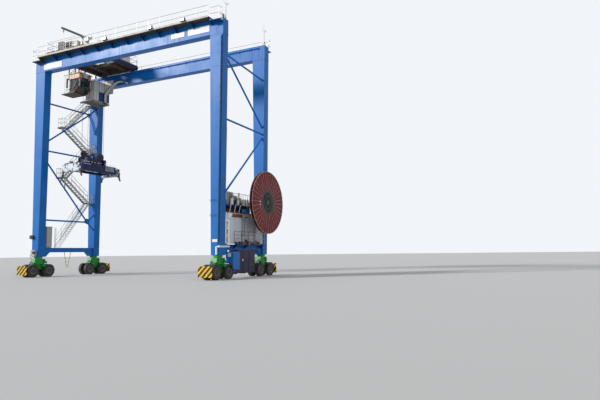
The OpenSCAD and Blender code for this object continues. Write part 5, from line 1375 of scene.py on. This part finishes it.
# %% Bogie details
for sx, sy in corners:
    name = "bogie_" + corner_name(sx, sy)
    cx, cy = joints["steer_" + corner_name(sx, sy)]["pos_m"][:2]
    ring_bolts = [(p, (0, 0, -1)) for p in ring_points((cx, cy, 1.995), "z", 0.395, 24)]
    ring_bolts += [((cx + s * 0.332, cy + y, z), (s, 0, 0)) for s in SIDES
                   for y in (-0.5, -0.25, 0, 0.25, 0.5) for z in (1.45, 1.90)]
    studs("ring_bolts_" + name, name, zinc, ring_bolts, 0.02, 0.03)
    hoses = Maker()
    for k in range(4):
        off = 0.05 * k                  # the four hoses lie side by side
        hoses.tube([(cx + 0.20 - off, cy - sy * 0.30, 1.47),
                    (cx + 0.36 - off, cy - sy * 0.62, 1.72 - 0.02 * k),
                    (cx + 0.34 - off, cy - sy * 0.86, 1.66), (cx + 0.22 - off, cy - sy * 0.90, 1.45)], 0.016)
        hoses.tube([(cx - 0.22 + off, cy + sy * 0.35, 1.48),
                    (cx - 0.30 + off, cy + sy * 0.70, 1.62 + 0.02 * k),
                    (cx - 0.18 + off, cy + sy * 0.98, 1.40)], 0.014)
    hoses.make("hoses_" + name, name, cable_rubber, "cable_rubber", smooth=True)
    parts = Maker()
    for t in SIDES:
        parts.block((cx - 0.12, cy + t * 0.94 - 0.14, 1.325), (cx + 0.12, cy + t * 0.94 + 0.14, 1.40))
        parts.tube([(cx - 0.16, cy + t * 0.58, 1.50), (cx + 0.16, cy + t * 0.58, 1.50)], 0.05, 16)
    parts.disc((cx + 0.16, cy - sy * 0.36, 1.24), (1, 0, 0), 0.16, 0.05, 28)
    parts.make("parts_" + name, name, machine_dark, "machinery", smooth=True)
    reflectors = Maker()
    for t in SIDES:
        reflectors.disc((cx + t * 0.40, sy * GUARD_Y, 1.16), (0, 1, 0), 0.05, 0.01, 20)
    reflectors.make("lamps_" + name, name, warning_red, "red_paint")
print("bogies dressed")

# %% [markdown]
# ## Stairs, leg cables and guard panels
# The flights have deep side plates with bright tread noses, a bundle of dark cables climbs the right leg in
# its tray and also stands in for the shade line beside the tray, and the boarding platform has panels with
# door frames. The same links tree repeats the noses.

# %% Stair plates, treads and cables
STAIR_X, STAIR_HALF = -12.4936, 0.344
FLIGHTS = ((-1.525, 2.725, 3.15, 8.60), (2.725, -0.725, 8.60, 11.25), (-0.725, 2.725, 11.25, 14.75),
           (2.725, -0.725, 14.75, 17.10), (-0.725, 2.725, 17.10, 20.60))
side_plates, noses = Maker(), []
for y0, y1, z0, z1 in FLIGHTS:
    for s in SIDES:
        x = STAIR_X + s * (STAIR_HALF + 0.009)
        outline = [(y0, z0 + 0.03), (y1, z1 + 0.03), (y1, z1 - 0.29), (y0, z0 - 0.29 if z0 > 4 else z0)]
        side_plates.prism(outline, "x", x - 0.004, x + 0.004)
        for shift in (0.035, -0.29):
            foot = [(y0, z0 + shift - 0.03), (y0, z0 + shift)]
            if shift < 0 and z0 < 4:    # the lowest flight ends on the platform
                foot = [(y0 + 0.3, z0 + 0.06), (y0 + 0.3, z0 + 0.1)]
            flange = [foot[1], (y1, z1 + shift), (y1, z1 + shift - 0.03), foot[0]]
            side_plates.prism(flange, "x", x, x + s * 0.02)
    count = int((z1 - z0) / 0.225)
    for k in range(1, count):
        y = y0 + (y1 - y0) * k / count
        z = z0 + (z1 - z0) * k / count - 0.11
        edge_y = y - 0.103 if y1 > y0 else y + 0.103
        noses.append([(STAIR_X - 0.32, edge_y, z), (STAIR_X + 0.32, edge_y, z)])
side_plates.make("stair_side_plates", "gantry", zinc, "galvanised")
links("tread_noses", "gantry", zinc, noses, 0.08, (0.06, 0.006, 0.05), follow=True)


def leg_outside(z):
    """Outer edge of a right leg at a height."""
    return 11.93 - 0.33 * (22.715 - z) / 20.545


# Painted shade: the dark cables in the tray also stand in for the dark shade line along the tray.
cables_and_shade_line = Maker()
for k in range(4):
    off = -0.172 + k * 0.026
    cables_and_shade_line.tube([(leg_outside(z) + off, -4.387, z) for z in (3.45, 10.0, 16.0, 22.4)], 0.012)
cables_and_shade_line.tube([(leg_outside(3.45) - 0.16, -4.387, 3.45), (leg_outside(3.4) - 0.2, -4.36, 3.1),
                  (11.4, -4.30, 2.7), (11.3, -4.28, 2.25), (11.2, -4.2, 2.0)], 0.03)
cables_and_shade_line.make("leg_cables", "gantry", cable_rubber, "cable_rubber", smooth=True)
clips = Maker()
for k in range(24):
    z = 3.8 + k * 0.79
    x = leg_outside(z) - 0.135
    clips.block((x - 0.065, -4.402, z - 0.02), (x + 0.075, -4.375, z + 0.02))
clips.make("leg_cable_clips", "gantry", deep_blue, "blue_paint")

frames = Maker()
for k in range(7):
    y = 1.06 + k * 0.385
    frames.block((-9.876, y - 0.02, 21.76 if k > 1 else 20.64), (-9.858, y + 0.02, 22.93))
for z in (21.76, 22.90):
    frames.block((-9.876, 1.03, z - 0.03), (-9.858, 3.39, z + 0.03))
for k in range(5):
    x = -11.16 + k * 0.31
    frames.block((x - 0.018, 1.004, 20.64), (x + 0.018, 1.022, 22.93))
for x0, x1 in ((-11.10, -10.58), (-10.52, -10.0)):
    for a, b in (((x0, 20.75), (x0 + 0.03, 22.75)), ((x1 - 0.03, 20.75), (x1, 22.75)),
                 ((x0, 20.75), (x1, 20.78)), ((x0, 22.72), (x1, 22.75))):
        frames.block((a[0], 1.0, a[1]), (b[0], 1.012, b[1]))
frames.make("panel_frames", "gantry", grey_paint, "white_paint")
handles = Maker()
for x in (-10.63, -10.06):
    handles.tube([(x, 1.0, 21.75), (x, 0.985, 21.75), (x, 0.985, 21.95), (x, 1.0, 21.95)], 0.010)
for y in (-0.9, 0.14, 1.18):
    handles.tube([(11.62, y, 1.6), (11.66, y, 1.6), (11.66, y, 1.85), (11.62, y, 1.85)], 0.012)
handles.make("door_handles", "gantry", machine_dark, "machinery")
print("stairs, cables and panels dressed")

# %% [markdown]
# ## Odds and ends on the service platform
# Drums with hoops, boxes, a hose and a pipe stand round the coolers above the house. The coolers' sides
# have louvres.

# %% Service platform items
drums, drum_rings, clutter = Maker(), Maker(), Maker()
PLATFORM_Z = 6.85
DRUMS = ((10.85, -2.95, 0.20, 0.55), (11.62, -0.35, 0.17, 0.45), (10.75, -0.35, 0.24, 0.60),
         (11.62, 0.62, 0.15, 0.42), (11.66, -2.45, 0.16, 0.62), (11.85, -0.62, 0.13, 0.50),
         (11.70, 0.22, 0.14, 0.66), (11.86, 0.85, 0.12, 0.40), (11.82, -1.62, 0.12, 0.45))
for x, y, r, h in DRUMS:
    drums.disc((x, y, PLATFORM_Z + h / 2), (0, 0, 1), r, h, 24)
    for z in (PLATFORM_Z + 0.06, PLATFORM_Z + h * 0.5, PLATFORM_Z + h - 0.05):
        drum_rings.tube(ring_points((x, y, z), "z", r + 0.004, 24), 0.012, 6, closed=True)
drums.make("platform_drums", "gantry", clean_white, "white_paint", smooth=True)
drum_rings.make("drum_rings", "gantry", zinc_dirty, "galvanised")
clutter.block((11.52, -1.9, PLATFORM_Z), (11.76, -1.5, 7.30))
clutter.block((11.54, -1.2, PLATFORM_Z), (11.74, -0.9, 7.12))
clutter.block((11.50, 0.92, PLATFORM_Z), (11.80, 1.20, 7.22))
clutter.tube([(11.50, -2.6, 6.90), (11.62, -2.2, 7.0), (11.65, -2.0, 6.92), (11.6, -1.9, 7.05)], 0.03)
clutter.tube([(10.6, -3.0, 6.95), (10.6, 1.1, 6.95)], 0.035)
clutter.tube([(10.6, 1.1, 6.95), (10.6, 1.1, 6.5), (10.6, 1.1, 6.2)], 0.035)
clutter.make("platform_clutter", "gantry", machine_dark, "machinery", smooth=True)
louvre_paths = []
for x, y0, y1, z0, z1 in ((11.471, -2.66, -1.99, 7.10, 7.86), (11.321, -1.47, -0.97, 7.02, 7.56),
                          (11.421, 0.37, 0.93, 6.95, 7.42)):
    for share in (0.27, 0.73):
        y = y0 + (y1 - y0) * share
        louvre_paths.append([(x, y, z0), (x, y, z1)])
links("cooler_louvres", "gantry", machine_dark, louvre_paths, 0.075, (0.02, 0.24, 0.03))
print("platform items ready")
